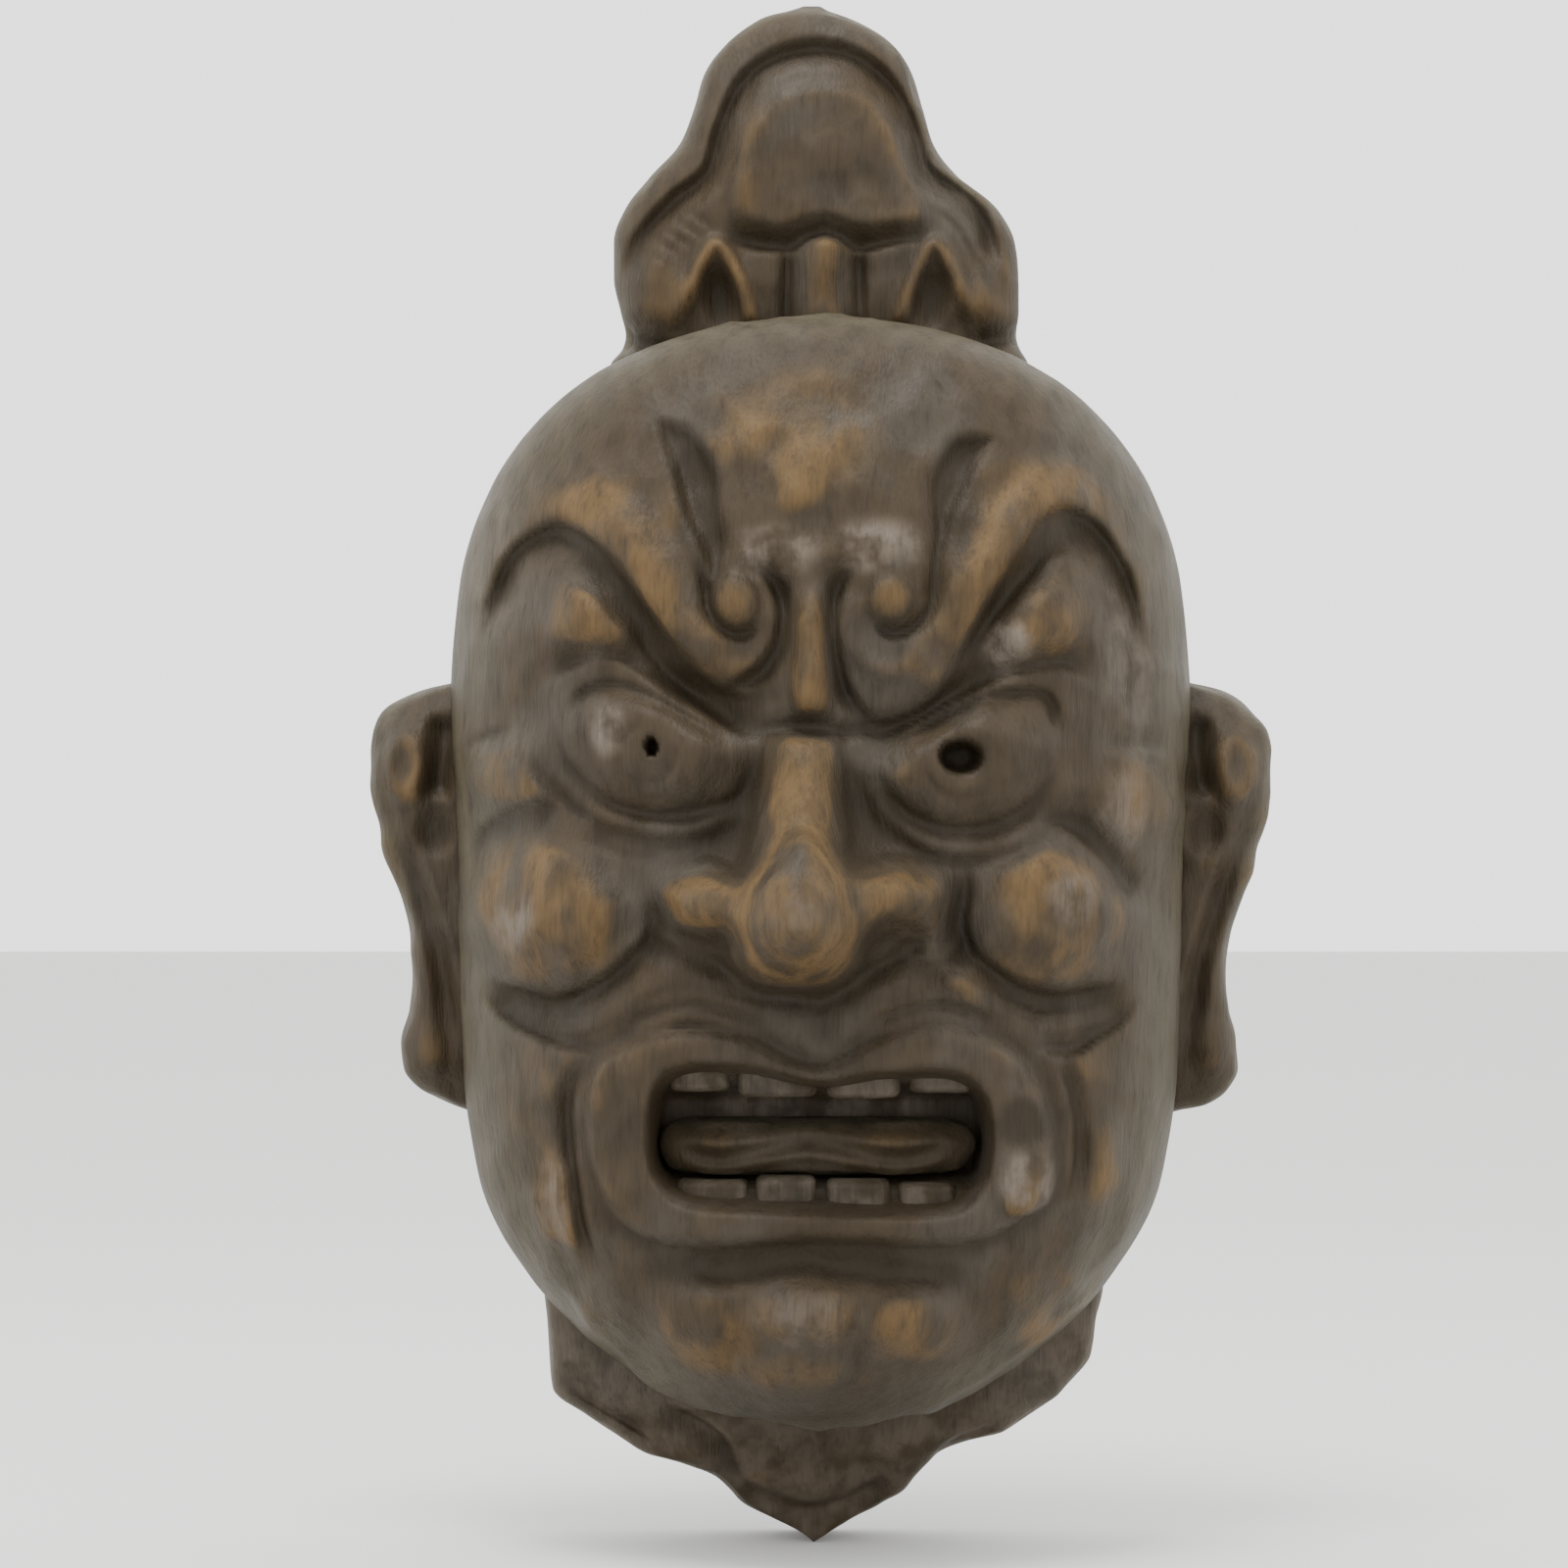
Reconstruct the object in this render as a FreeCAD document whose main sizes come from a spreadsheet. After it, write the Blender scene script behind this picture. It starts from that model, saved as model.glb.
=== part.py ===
import FreeCAD, Part
import Sketcher

# Guardian mask for a wall, carved in wood by the joined-block method and stained brown.
# One large block carries the face and is hollowed from behind. The topknot, both ears and the
# collar are blocks of their own, seated on flats and held by dowels. Two rows of teeth and a
# tongue are let into the mouth recess. A batten across the hollow carries a strap hanger whose
# ring swings.
#
# Frame: +Z up, +X to the viewer's right, the face looks towards -Y and the wall is the plane
# y = 0. The origin lies on the batten's back face, in that plane, on the mask's middle line.
# A depth is a distance from the wall plane, so a point at depth d has y = -d.

import math
import os

from FreeCAD import Placement, Rotation, Vector

OUT = "parts"
PLACES = ("Placement.Base.x", "Placement.Base.y", "Placement.Base.z")
SIDES = {"left": 1, "right": -1}  # the mask's own left is at +X

# Every driving size in millimetres: (alias, value). Each becomes a cell of the sheet.
SIZES = [
    ("head_roundness", 2.15),
    ("head_rows", 72),
    ("head_columns", 120),
    ("cutter_reach", 100),
    # the batten let into the back of the head
    ("batten_half_length", 84),
    ("batten_thickness", 18),
    ("batten_bottom", -16),
    ("batten_top", 66),
    ("batten_gap", 0.1),
    ("batten_screw_x", 78),
    ("batten_screw_low", -4),
    ("batten_screw_high", 54),
    ("batten_screw_length", 34),
    ("batten_screw_radius", 1.75),
    ("batten_screw_head", 3.8),
    ("pilot_gap", 0.1),
    # the recess in the batten and the strap hanger in it
    ("pocket_half_width", 17),
    ("pocket_depth", 7.5),
    ("pocket_below", 28),
    ("pocket_above", 20),
    ("pivot_height", 38),
    ("pivot_offset", 3.2),
    ("strap_width", 12),
    ("strap_gauge", 1.6),
    ("strap_below", 26),
    ("strap_above", 1.5),
    ("barrel_radius", 2.6),
    ("ring_gap", 0.05),
    ("ring_wire_radius", 1.25),
    ("ring_half_width", 12),
    ("ring_corner", 3),
    ("ring_leg", 4),
    ("hanger_screw_first", 8),
    ("hanger_screw_second", 21),
    ("hanger_screw_length", 9),
    ("hanger_screw_radius", 1.5),
    ("hanger_screw_head", 3.0),
    # flats and dowels that join the blocks to the head
    ("ear_seat_x", 97),
    ("ear_seat_depth", 56),
    ("ear_seat_top", 32),
    ("ear_seat_bottom", -98),
    ("topknot_seat", 114),
    ("topknot_seat_depth", 60),
    ("collar_seat", -157),
    ("collar_seat_depth", 54),
    ("dowel_gap", 0.1),
    ("ear_dowel_radius", 4),
    ("ear_dowel_depth", 28),
    ("ear_dowel_high", 0),
    ("ear_dowel_low", -62),
    ("ear_dowel_reach", 11),
    ("topknot_dowel_radius", 6),
    ("topknot_dowel_x", 26),
    ("topknot_dowel_depth", 34),
    ("topknot_dowel_reach", 16),
    ("collar_dowel_radius", 5),
    ("collar_dowel_x", 45),
    ("collar_dowel_depth", 24),
    ("collar_dowel_reach", 13),
    # blocks
    ("topknot_front", 59.8),
    ("topknot_back", 12),
    ("topknot_recess", 7),
    ("topknot_plate_rise", 12),
    ("topknot_edge", 5),
    ("collar_front", 53.8),
    ("collar_tip_front", 34),
    ("ear_hollow_x", 17),
    ("ear_hollow_depth", 58),
    ("ear_hollow_radius", 11),
    # mouth recess, teeth and tongue
    ("mouth_height", -100.7),
    ("mouth_half_length", 51),
    ("mouth_half_height", 21),
    ("mouth_corner", 8),
    ("mouth_floor", 86),
    ("lip_width", 15),
    ("lip_rise", 7),
    ("gum_half_length", 42),
    ("gum_thickness", 8),
    ("gum_height", 5),
    ("tooth_height", 9.5),
    ("tooth_width", 17.5),
    ("tooth_gap", 1.6),
    ("tooth_front", 102),
    ("tooth_edge", 1.6),
    ("tongue_half_width", 31),
    ("tongue_half_height", 8.4),
    ("tongue_front", 100),
    # pupils, bored into the eyes
    ("pupil_left_x", 38.6),
    ("pupil_right_x", -47.5),
    ("pupil_left_height", 6.6),
    ("pupil_right_height", 10),
    ("pupil_left_radius", 5),
    ("pupil_right_radius", 2),
    ("pupil_floor", 96),
]

# Horizontal sections of the head: name, height, half width, front depth, depth of the widest line.
HEAD_SECTIONS = [
    ("crown_top", 132, 24, 92, 72),
    ("crown", 126, 48, 102, 66),
    ("hairline", 112, 74, 111, 59),
    ("forehead", 86, 96, 119, 46),
    ("temple", 58, 105.5, 125, 38),
    ("eye", 23, 108.3, 124, 36),
    ("cheek", -32, 106.5, 122, 36),
    ("lip", -82, 104.7, 122, 36),
    ("jaw", -117, 99.5, 121, 36),
    ("chin", -144, 85, 116, 38),
    ("chin_low", -167, 61, 105, 42),
    ("chin_base", -181, 36, 92, 50),
]

# Horizontal sections of the hollow behind the face: name, height, half width, depth.
HOLLOW_SECTIONS = [
    ("top", 94, 36, 34),
    ("upper", 74, 56, 58),
    ("brow", 38, 68, 78),
    ("nose", -12, 72, 86),
    ("upper_lip", -66, 74, 70),
    ("mouth", -102, 69, 60),
    ("lower_lip", -128, 55, 50),
    ("bottom", -141, 34, 32),
]

# Swellings carved on the face: name, centre x and height, half sizes in x and z, rise above
# the plain surface, and a tilt in degrees about Y.
FACE_SWELLINGS = [
    ("nose_bridge", -4, -12, 19, 38, 24, 0),
    ("nose_tip", -7, -40, 21, 22, 34, 0),
    ("chin_ball", 0, -150, 48, 26, 9, 0),
]
# These have a twin on the mask's other side.
PAIRED_SWELLINGS = [
    ("nose_wing", 29, -42, 21, 17, 17, 0),
    ("brow_ridge", 46, 61, 42, 19, 14, -42),
    ("brow_tail", 80, 58, 32, 16, 11, 62),
    ("brow_scroll", 22, 44, 19, 18, 9, 0),
    ("eyeball", 46, 8, 34, 20, 10, 0),
    ("cheek_ball", 72, -34, 32, 32, 15, 0),
]

# Teeth in each row, and how far a tooth sits back for each place squared from the middle.
TEETH_IN_A_ROW = 4
TOOTH_SET_BACK = 1.2

# Half of the topknot's outline, from its base up to its tip: (x, height above its seat).
TOPKNOT_OUTLINE = [
    (57, 0), (58.5, 16), (59.3, 32), (55.5, 50), (45, 63), (37, 75),
    (32.5, 88), (26, 101), (14, 110.5), (0, 112.8),
]

# The sunk middle plate's size, as a share of the topknot's outline.
TOPKNOT_PLATE = 0.72

# An ear's outline from the front, from its top to its lobe: (x beyond its seat, height).
EAR_FRONT_OUTLINE = [
    (0, 30), (15, 29), (27, 23), (33, 12), (34, 0), (31, -18), (25.5, -38), (22.6, -57),
    (25.5, -72), (25.8, -82), (20, -92), (11, -95.6), (0, -96),
]

# An ear's closed outline from the side (depth, height).
EAR_SIDE_OUTLINE = [
    (22, 29), (40, 27), (51, 14), (54, -8), (50, -38), (46, -66), (42, -86), (32, -95.5),
    (20, -90), (14, -62), (8, -22), (8, 10),
]

# The collar's outline from the mask's right to its left: (x, height above its seat).
COLLAR_TOP = [(-80, 0), (80, 0)]
COLLAR_RIGHT_HEM = [(-80, -7), (-78, -21), (-49, -41)]
COLLAR_RIGHT_SCALLOP = [(-49, -41), (-33.5, -45.5), (-25, -55)]
COLLAR_TIP = (-1.4, -66.2)
COLLAR_LEFT_SCALLOP = [(28, -51), (33.5, -41), (49, -36.7)]
COLLAR_LEFT_END = (80.5, -11)

doc = FreeCAD.newDocument("guardian_mask")


# The sheet

def make_sheet():
    """Puts every driving size in a cell of its own, with its alias, and returns the sheet."""
    table = doc.addObject("Spreadsheet::Sheet", "sizes")
    rows = list(SIZES)
    for name, height, half_width, front, centre in HEAD_SECTIONS:
        rows.append((f"head_{name}_height", height))
        rows.append((f"head_{name}_half_width", half_width))
        rows.append((f"head_{name}_front", front))
        rows.append((f"head_{name}_centre", centre))
    for name, height, half_width, depth in HOLLOW_SECTIONS:
        rows.append((f"hollow_{name}_height", height))
        rows.append((f"hollow_{name}_half_width", half_width))
        rows.append((f"hollow_{name}_depth", depth))
    for name, x, height, half_x, half_z, rise, tilt in FACE_SWELLINGS + PAIRED_SWELLINGS:
        rows.append((f"{name}_x", x))
        rows.append((f"{name}_height", height))
        rows.append((f"{name}_half_width", half_x))
        rows.append((f"{name}_half_height", half_z))
        rows.append((f"{name}_rise", rise))
        rows.append((f"{name}_tilt", tilt))
    for number, (alias, value) in enumerate(rows, start=1):
        table.set(f"A{number}", alias)
        table.set(f"B{number}", str(value))
        table.setAlias(f"B{number}", alias)
    doc.recompute()
    return table


sheet = make_sheet()


def size(alias):
    """The number in the cell of that alias."""
    return float(sheet.get(alias))


def cells(expression):
    """An expression in which each word of the sheet is written as sizes.word."""
    words = []
    for word in expression.split():
        words.append(f"<<sizes>>.{word}" if word[0].isalpha() else word)
    return " ".join(words)


def bind(thing, **properties):
    """Binds each property to an expression over the sheet's aliases, words parted by spaces."""
    for name, expression in properties.items():
        thing.setExpression(name, cells(expression))


def place(thing, x="0", y="0", z="0"):
    """Binds the thing's place to expressions over the sheet's aliases."""
    for path, expression in zip(PLACES, (x, y, z)):
        if expression != "0":
            thing.setExpression(path, cells(expression))


# Shapes that repeat

def box(name, length, width, height, x="0", y="0", z="0"):
    """A box bound to the sheet: sizes along X, Y and Z, then its lowest corner."""
    block = doc.addObject("Part::Box", name)
    bind(block, Length=length, Width=width, Height=height)
    place(block, x, y, z)
    return block


def cylinder(name, radius, length, axis, x="0", y="0", z="0"):
    """A cylinder bound to the sheet, from its first end along an axis."""
    rod = doc.addObject("Part::Cylinder", name)
    bind(rod, Radius=radius, Height=length)
    rod.Placement = Placement(Vector(), Rotation(Vector(0, 0, 1), axis))
    place(rod, x, y, z)
    return rod


def compound(name, parts):
    """Several solids as one object."""
    group = doc.addObject("Part::Compound", name)
    group.Links = parts
    return group


def cut(name, base, tool):
    """The base without the tool."""
    result = doc.addObject("Part::Cut", name)
    result.Base = base
    result.Tool = tool
    return result


def fuse(name, parts):
    """Several overlapping solids as one."""
    result = doc.addObject("Part::MultiFuse", name)
    result.Shapes = parts
    return result


def carved(name, shape):
    """A free-form solid whose shape is worked out here from the sheet's numbers."""
    block = doc.addObject("Part::Feature", name)
    block.Shape = shape
    return block


def section(height, half_width, half_depth, centre):
    """A closed horizontal curve: a squared ellipse whose widest line lies at depth centre."""
    power = 2 / size("head_roundness")
    steps = 24
    points = []
    for i in range(steps):
        turn = 2 * math.pi * i / steps
        across = math.copysign(abs(math.cos(turn)) ** power, math.cos(turn))
        along = math.copysign(abs(math.sin(turn)) ** power, math.sin(turn))
        points.append(Vector(half_width * across, -centre - half_depth * along, height))
    curve = Part.BSplineCurve()
    curve.interpolate(points, PeriodicFlag=True)
    return Part.Wire([curve.toShape()])


def outline_solid(wire, start, length):
    """The solid that a closed wire sweeps, moved by start and then along length."""
    face = Part.Face(wire)
    face.translate(start)
    return face.extrude(length)


def smooth(points):
    """An edge through the points, smooth between its ends."""
    curve = Part.BSplineCurve()
    curve.interpolate(points)
    return curve.toShape()


# The head

def slopes(knots, values):
    """The slope at each knot of a curve that rises and falls only where its values do."""
    steps = [(q - p) / (b - a) for a, b, p, q in zip(knots, knots[1:], values, values[1:])]
    inner = [0 if p * q <= 0 else 2 * p * q / (p + q) for p, q in zip(steps, steps[1:])]
    return [steps[0]] + inner + [steps[-1]]


def between(knots, values, at):
    """The value at a place between the knots, on a smooth curve through the values."""
    i = max(j for j in range(len(knots) - 1) if j == 0 or knots[j] <= at)
    width = knots[i + 1] - knots[i]
    along = (at - knots[i]) / width
    slope = slopes(knots, values)
    start = values[i] * (1 + 2 * along) * (1 - along) ** 2 + slope[i] * width * along * (1 - along) ** 2
    end = values[i + 1] * along**2 * (3 - 2 * along) - slope[i + 1] * width * along**2 * (1 - along)
    return start + end


def head_sizes():
    """Each column of the head's sections from the chin upwards, read from the sheet."""
    names = [name for name, *_ in reversed(HEAD_SECTIONS)]
    columns = {}
    for column in ("height", "half_width", "front", "centre"):
        columns[column] = [size(f"head_{name}_{column}") for name in names]
    return columns


def swellings():
    """Every swelling of the face as (x, height, half sizes, rise, cosine and sine of tilt)."""
    found = []
    for table, sides in ((FACE_SWELLINGS, (1,)), (PAIRED_SWELLINGS, (1, -1))):
        for name, *_ in table:
            for side in sides:
                tilt = math.radians(side * size(f"{name}_tilt"))
                found.append(
                    (
                        side * size(f"{name}_x"),
                        size(f"{name}_height"),
                        size(f"{name}_half_width"),
                        size(f"{name}_half_height"),
                        size(f"{name}_rise"),
                        math.cos(tilt),
                        math.sin(tilt),
                    )
                )
    return found


def lip_rise(x, height):
    """How far the band of the lips stands up at a point: a ring round the mouth recess."""
    corner = size("mouth_corner") + size("lip_width") / 2
    across = abs(x) - size("mouth_half_length") + size("mouth_corner")
    up = abs(height - size("mouth_height")) - size("mouth_half_height") + size("mouth_corner")
    outside = math.hypot(max(across, 0), max(up, 0)) + min(max(across, up), 0)
    off = (outside - corner) / size("lip_width")
    return size("lip_rise") * (1 - off * off) ** 2 if abs(off) < 1 else 0


def rise(x, height, all_swellings):
    """How far the carved face stands in front of the plain head at a point."""
    total = lip_rise(x, height)
    for middle_x, middle_z, half_x, half_z, top, cosine, sine in all_swellings:
        dx, dz = x - middle_x, height - middle_z
        along = (dx * cosine - dz * sine) / half_x
        across = (dx * sine + dz * cosine) / half_z
        off = along * along + across * across
        if off < 1:
            total += top * (1 - off * off) ** 2
    return total


def skin_over(grid):
    """A smooth skin, closed round each row, whose control points are a grid of points."""
    degree = 3
    spans = len(grid) - degree
    ends = degree + 1
    surface = Part.BSplineSurface()
    surface.buildFromPolesMultsKnots(
        grid,
        [ends] + [1] * (spans - 1) + [ends],
        [1] * (len(grid[0]) + 1),
        list(range(spans + 1)),
        list(range(len(grid[0]) + 1)),
        False,
        True,
        degree,
        degree,
    )
    return surface.toShape(), surface


def head_solid():
    """The head's mass with the face raised on its front, one smooth surface and two caps."""
    columns = head_sizes()
    heights = columns["height"]
    all_swellings = swellings()
    power = 2 / size("head_roundness")
    rows = int(size("head_rows"))
    steps = int(size("head_columns"))
    grid = []
    for j in range(rows + 1):
        height = heights[0] + (heights[-1] - heights[0]) * j / rows
        half_width = between(heights, columns["half_width"], height)
        centre = between(heights, columns["centre"], height)
        half_depth = between(heights, columns["front"], height) - centre
        row = []
        for i in range(steps):
            turn = 2 * math.pi * i / steps + math.pi / 2
            across, along = math.cos(turn), -math.sin(turn)
            x = half_width * math.copysign(abs(across) ** power, across)
            depth = centre + half_depth * math.copysign(abs(along) ** power, along)
            if along > 0:
                depth += rise(x, height, all_swellings) * min(1, 3 * along)
            row.append(Vector(x, -depth, height))
        grid.append(row)
    skin, surface = skin_over(grid)
    ends = surface.bounds()[:2]
    caps = [Part.Face(Part.Wire([surface.uIso(end).toShape()])) for end in ends]
    shell = Part.Shell([skin] + caps)
    shell.sewShape()
    solid = Part.Solid(shell)
    return carved("head_mass", solid if solid.Volume > 0 else solid.reversed())


def hollow_solid():
    """The bowl that is dug out of the head from behind."""
    wires = []
    for name, *_ in HOLLOW_SECTIONS:
        half_width = size(f"hollow_{name}_half_width")
        depth = size(f"hollow_{name}_depth")
        wires.append(section(size(f"hollow_{name}_height"), half_width, depth, 0))
    return carved("hollow_bowl", Part.makeLoft(wires, True))


def mouth_recess():
    """The round-cornered recess of the mouth, from its floor out through the lips."""
    body = doc.addObject("PartDesign::Body", "mouth_recess")
    sketch = body.newObject("Sketcher::SketchObject", "mouth_outline")
    planes = {f.Role: f for f in body.Origin.OriginFeatures}
    sketch.AttachmentSupport = [(planes["XZ_Plane"], "")]
    sketch.MapMode = "FlatFace"
    bind(sketch, **{"AttachmentOffset.Base.z": "mouth_floor"})
    corner = size("mouth_corner")
    across = size("mouth_half_length") - corner
    up = size("mouth_half_height") - corner
    middle = size("mouth_height")
    for quarter, (x, z) in enumerate([(across, up), (-across, up), (-across, -up), (across, -up)]):
        circle = Part.Circle(Vector(x, middle + z, 0), Vector(0, 0, 1), corner)
        start = quarter * math.pi / 2
        sketch.addGeometry(Part.ArcOfCircle(circle, start, start + math.pi / 2))
    for quarter in range(4):
        first = sketch.getPoint(quarter, 2)
        last = sketch.getPoint((quarter + 1) % 4, 1)
        sketch.addGeometry(Part.LineSegment(first, last))
    pad = body.newObject("PartDesign::Pad", "mouth_pad")
    pad.Profile = sketch
    bind(pad, Length="cutter_reach")
    return body


def pupil(side):
    """A hole bored into the eye, straight along Y."""
    return cylinder(
        f"pupil_{side}",
        f"pupil_{side}_radius",
        "cutter_reach",
        Vector(0, -1, 0),
        f"pupil_{side}_x",
        "-1 * pupil_floor",
        f"pupil_{side}_height",
    )


def ear_seat(side):
    """The flat cut on the side of the head for an ear."""
    start = "ear_seat_x" if SIDES[side] > 0 else "-1 * ear_seat_x - 60"
    height = "ear_seat_top - ear_seat_bottom"
    return box(
        f"ear_seat_{side}", "60", "ear_seat_depth", height, start,
        "-1 * ear_seat_depth", "ear_seat_bottom",
    )


def head_cutters():
    """Everything that is cut from the head: hollow, mouth, pupils, flats, rebate and bores."""
    wall_side = box("wall_side", "400", "200", "600", "-200", "0", "-300")
    topknot_seat = box(
        "topknot_flat", "160", "topknot_seat_depth", "60", "-80",
        "-1 * topknot_seat_depth", "topknot_seat",
    )
    collar_seat = box(
        "collar_flat", "240", "collar_seat_depth", "60", "-120",
        "-1 * collar_seat_depth", "collar_seat - 60",
    )
    rebate = box(
        "batten_rebate",
        "2 * batten_half_length + 2 * batten_gap",
        "batten_thickness",
        "batten_top - batten_bottom + 2 * batten_gap",
        "-1 * batten_half_length - batten_gap",
        "-1 * batten_thickness",
        "batten_bottom - batten_gap",
    )
    cutters = [hollow_solid(), wall_side, topknot_seat, collar_seat, rebate, mouth_recess()]
    cutters += [pupil("left"), pupil("right"), ear_seat("left"), ear_seat("right")]
    cutters += dowels("topknot", "bore") + dowels("collar", "bore")
    cutters += dowels("ear_left", "bore") + dowels("ear_right", "bore")
    cutters += batten_screw_bores("pilot")
    return cutters


def face_block():
    """The head with its carved face, hollowed and cut for everything that joins it."""
    return cut("face_block", head_solid(), fuse("head_cutters", head_cutters()))


# Dowels

def dowels(joint, kind):
    """The two dowels of a joint, or the bores that take them, as cylinders."""
    radius = {"dowel": "", "bore": " + dowel_gap"}[kind]
    rods = []
    if joint.startswith("ear"):
        side = SIDES[joint.split("_")[1]]
        for place_name in ("high", "low"):
            rods.append(
                cylinder(
                    f"{joint}_{kind}_{place_name}",
                    f"ear_dowel_radius{radius}",
                    "2 * ear_dowel_reach",
                    Vector(1, 0, 0),
                    f"{side} * ear_seat_x - ear_dowel_reach",
                    "-1 * ear_dowel_depth",
                    f"ear_dowel_{place_name}",
                )
            )
        return rods
    for number, side in enumerate((-1, 1)):
        rods.append(
            cylinder(
                f"{joint}_{kind}_{number}",
                f"{joint}_dowel_radius{radius}",
                f"2 * {joint}_dowel_reach",
                Vector(0, 0, 1),
                f"{side} * {joint}_dowel_x",
                f"-1 * {joint}_dowel_depth",
                f"{joint}_seat - {joint}_dowel_reach",
            )
        )
    return rods


# The blocks joined to the head

def topknot_wire(shrink):
    """The topknot's closed outline in the plane y = 0, shrunk towards its base's middle."""
    base = size("topknot_seat")
    right = [Vector(x * shrink, 0, base + height * shrink) for x, height in TOPKNOT_OUTLINE]
    left = [Vector(-p.x, 0, p.z) for p in reversed(right[:-1])]
    curve = smooth(right + left)
    return Part.Wire([curve, Part.LineSegment(left[-1], right[0]).toShape()])


def topknot():
    """The hair bun: a bell-shaped block with a raised rim round a sunk middle plate."""
    front = size("topknot_front")
    thickness = front - size("topknot_back")
    block = outline_solid(topknot_wire(1), Vector(0, -front, 0), Vector(0, thickness, 0))
    rim = [e for e in block.Edges if e.BoundBox.ZLength > 10 and e.BoundBox.YLength < 1]
    block = block.makeChamfer(size("topknot_edge"), rim)
    depth = size("topknot_recess")
    start = Vector(0, -front - 1, size("topknot_plate_rise"))
    plate = outline_solid(topknot_wire(TOPKNOT_PLATE), start, Vector(0, depth + 1, 0))
    bun = carved("topknot_bun", block.cut(plate))
    return cut("topknot", bun, compound("topknot_bores", dowels("topknot", "bore")))


def ear_block(side):
    """A long-lobed ear: its front outline and its side outline crossed, hollowed at the shell."""
    sign = SIDES[side]
    seat = size("ear_seat_x")
    front = [Vector(sign * (seat + x), 0, z) for x, z in EAR_FRONT_OUTLINE]
    front_wire = Part.Wire([smooth(front), Part.LineSegment(front[-1], front[0]).toShape()])
    from_front = outline_solid(front_wire, Vector(0, -100, 0), Vector(0, 100, 0))
    curve = Part.BSplineCurve()
    curve.interpolate([Vector(0, -d, z) for d, z in EAR_SIDE_OUTLINE], PeriodicFlag=True)
    side_wire = Part.Wire([curve.toShape()])
    from_side = outline_solid(side_wire, Vector(sign * (seat - 9), 0, 0), Vector(sign * 60, 0, 0))
    middle = Vector(sign * (seat + size("ear_hollow_x")), -size("ear_hollow_depth"), 4)
    shell = Part.makeSphere(size("ear_hollow_radius"), middle)
    body = carved(f"ear_{side}_body", from_front.common(from_side).cut(shell))
    bores = compound(f"ear_{side}_bores", dowels(f"ear_{side}", "bore"))
    return cut(f"ear_{side}", body, bores)


def collar():
    """The folded collar under the chin, thinner towards its tip."""
    seat = size("collar_seat")

    def at(point):
        return Vector(point[0], 0, seat + point[1])

    def lines(points):
        return [Part.LineSegment(at(a), at(b)).toShape() for a, b in zip(points, points[1:])]

    edges = lines([COLLAR_TOP[0]] + COLLAR_RIGHT_HEM)
    edges.append(Part.Arc(*[at(point) for point in COLLAR_RIGHT_SCALLOP]).toShape())
    edges += lines([COLLAR_RIGHT_SCALLOP[-1], COLLAR_TIP, COLLAR_LEFT_SCALLOP[0]])
    edges.append(Part.Arc(*[at(point) for point in COLLAR_LEFT_SCALLOP]).toShape())
    edges += lines([COLLAR_LEFT_SCALLOP[-1], COLLAR_LEFT_END, COLLAR_TOP[1], COLLAR_TOP[0]])
    front = size("collar_front")
    tip = size("collar_tip_front")
    block = outline_solid(Part.Wire(edges), Vector(0, -front, 0), Vector(0, front, 0))
    top = seat
    bottom = at(COLLAR_TIP).z - 1
    profile = [
        Vector(-100, -front, top),
        Vector(-100, -tip, bottom),
        Vector(-100, -front - 10, bottom),
        Vector(-100, -front - 10, top),
    ]
    wedge = Part.Face(Part.makePolygon(profile + profile[:1])).extrude(Vector(200, 0, 0))
    body = carved("collar_body", block.cut(wedge))
    return cut("collar", body, compound("collar_bores", dowels("collar", "bore")))


# Teeth and tongue

def tooth(name, x, set_back, base):
    """One tooth, rounded along its front edges. Its left edge is at x and its bottom at base."""
    block = box(
        f"{name}_block",
        "tooth_width",
        f"tooth_front - mouth_floor - {set_back}",
        "tooth_height",
        x,
        f"{set_back} - tooth_front",
        base,
    )
    doc.recompute()
    front = min(vertex.Point.y for vertex in block.Shape.Vertexes)
    radius = size("tooth_edge")
    chosen = []
    for number, edge in enumerate(block.Shape.Edges, start=1):
        if all(abs(vertex.Point.y - front) < 1e-6 for vertex in edge.Vertexes):
            chosen.append((number, radius, radius))
    rounded = doc.addObject("Part::Fillet", name)
    rounded.Base = block
    rounded.Edges = chosen
    return rounded


def teeth(name, edge, gum_base, tooth_base):
    """A row of teeth on a gum bar at the mouth recess's edge, its ends set back."""
    bar = box(
        f"{name}_gum",
        "2 * gum_half_length",
        "gum_thickness",
        "gum_height",
        "-1 * gum_half_length",
        "-1 * mouth_floor - gum_thickness",
        f"{edge} {gum_base}",
    )
    row = [bar]
    for i in range(TEETH_IN_A_ROW):
        place_in_row = i - (TEETH_IN_A_ROW - 1) / 2
        x = f"{place_in_row} * ( tooth_width + tooth_gap ) - 0.5 * tooth_width"
        set_back = TOOTH_SET_BACK * place_in_row**2
        row.append(tooth(f"{name}_tooth_{i + 1}", x, set_back, f"{edge} {tooth_base}"))
    return fuse(name, row)


def tongue():
    """A low rounded tongue lying on the floor of the mouth recess."""
    mass = doc.addObject("Part::Ellipsoid", "tongue_mass")
    bind(mass, Radius1="tongue_half_height", Radius2="tongue_half_width")
    bind(mass, Radius3="tongue_front - mouth_floor")
    place(mass, "0", "-1 * mouth_floor", "mouth_height")
    behind = box("tongue_behind", "120", "60", "60", "-60", "-1 * mouth_floor", "mouth_height - 30")
    return cut("tongue", mass, behind)


# The batten and the hanger

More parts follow.
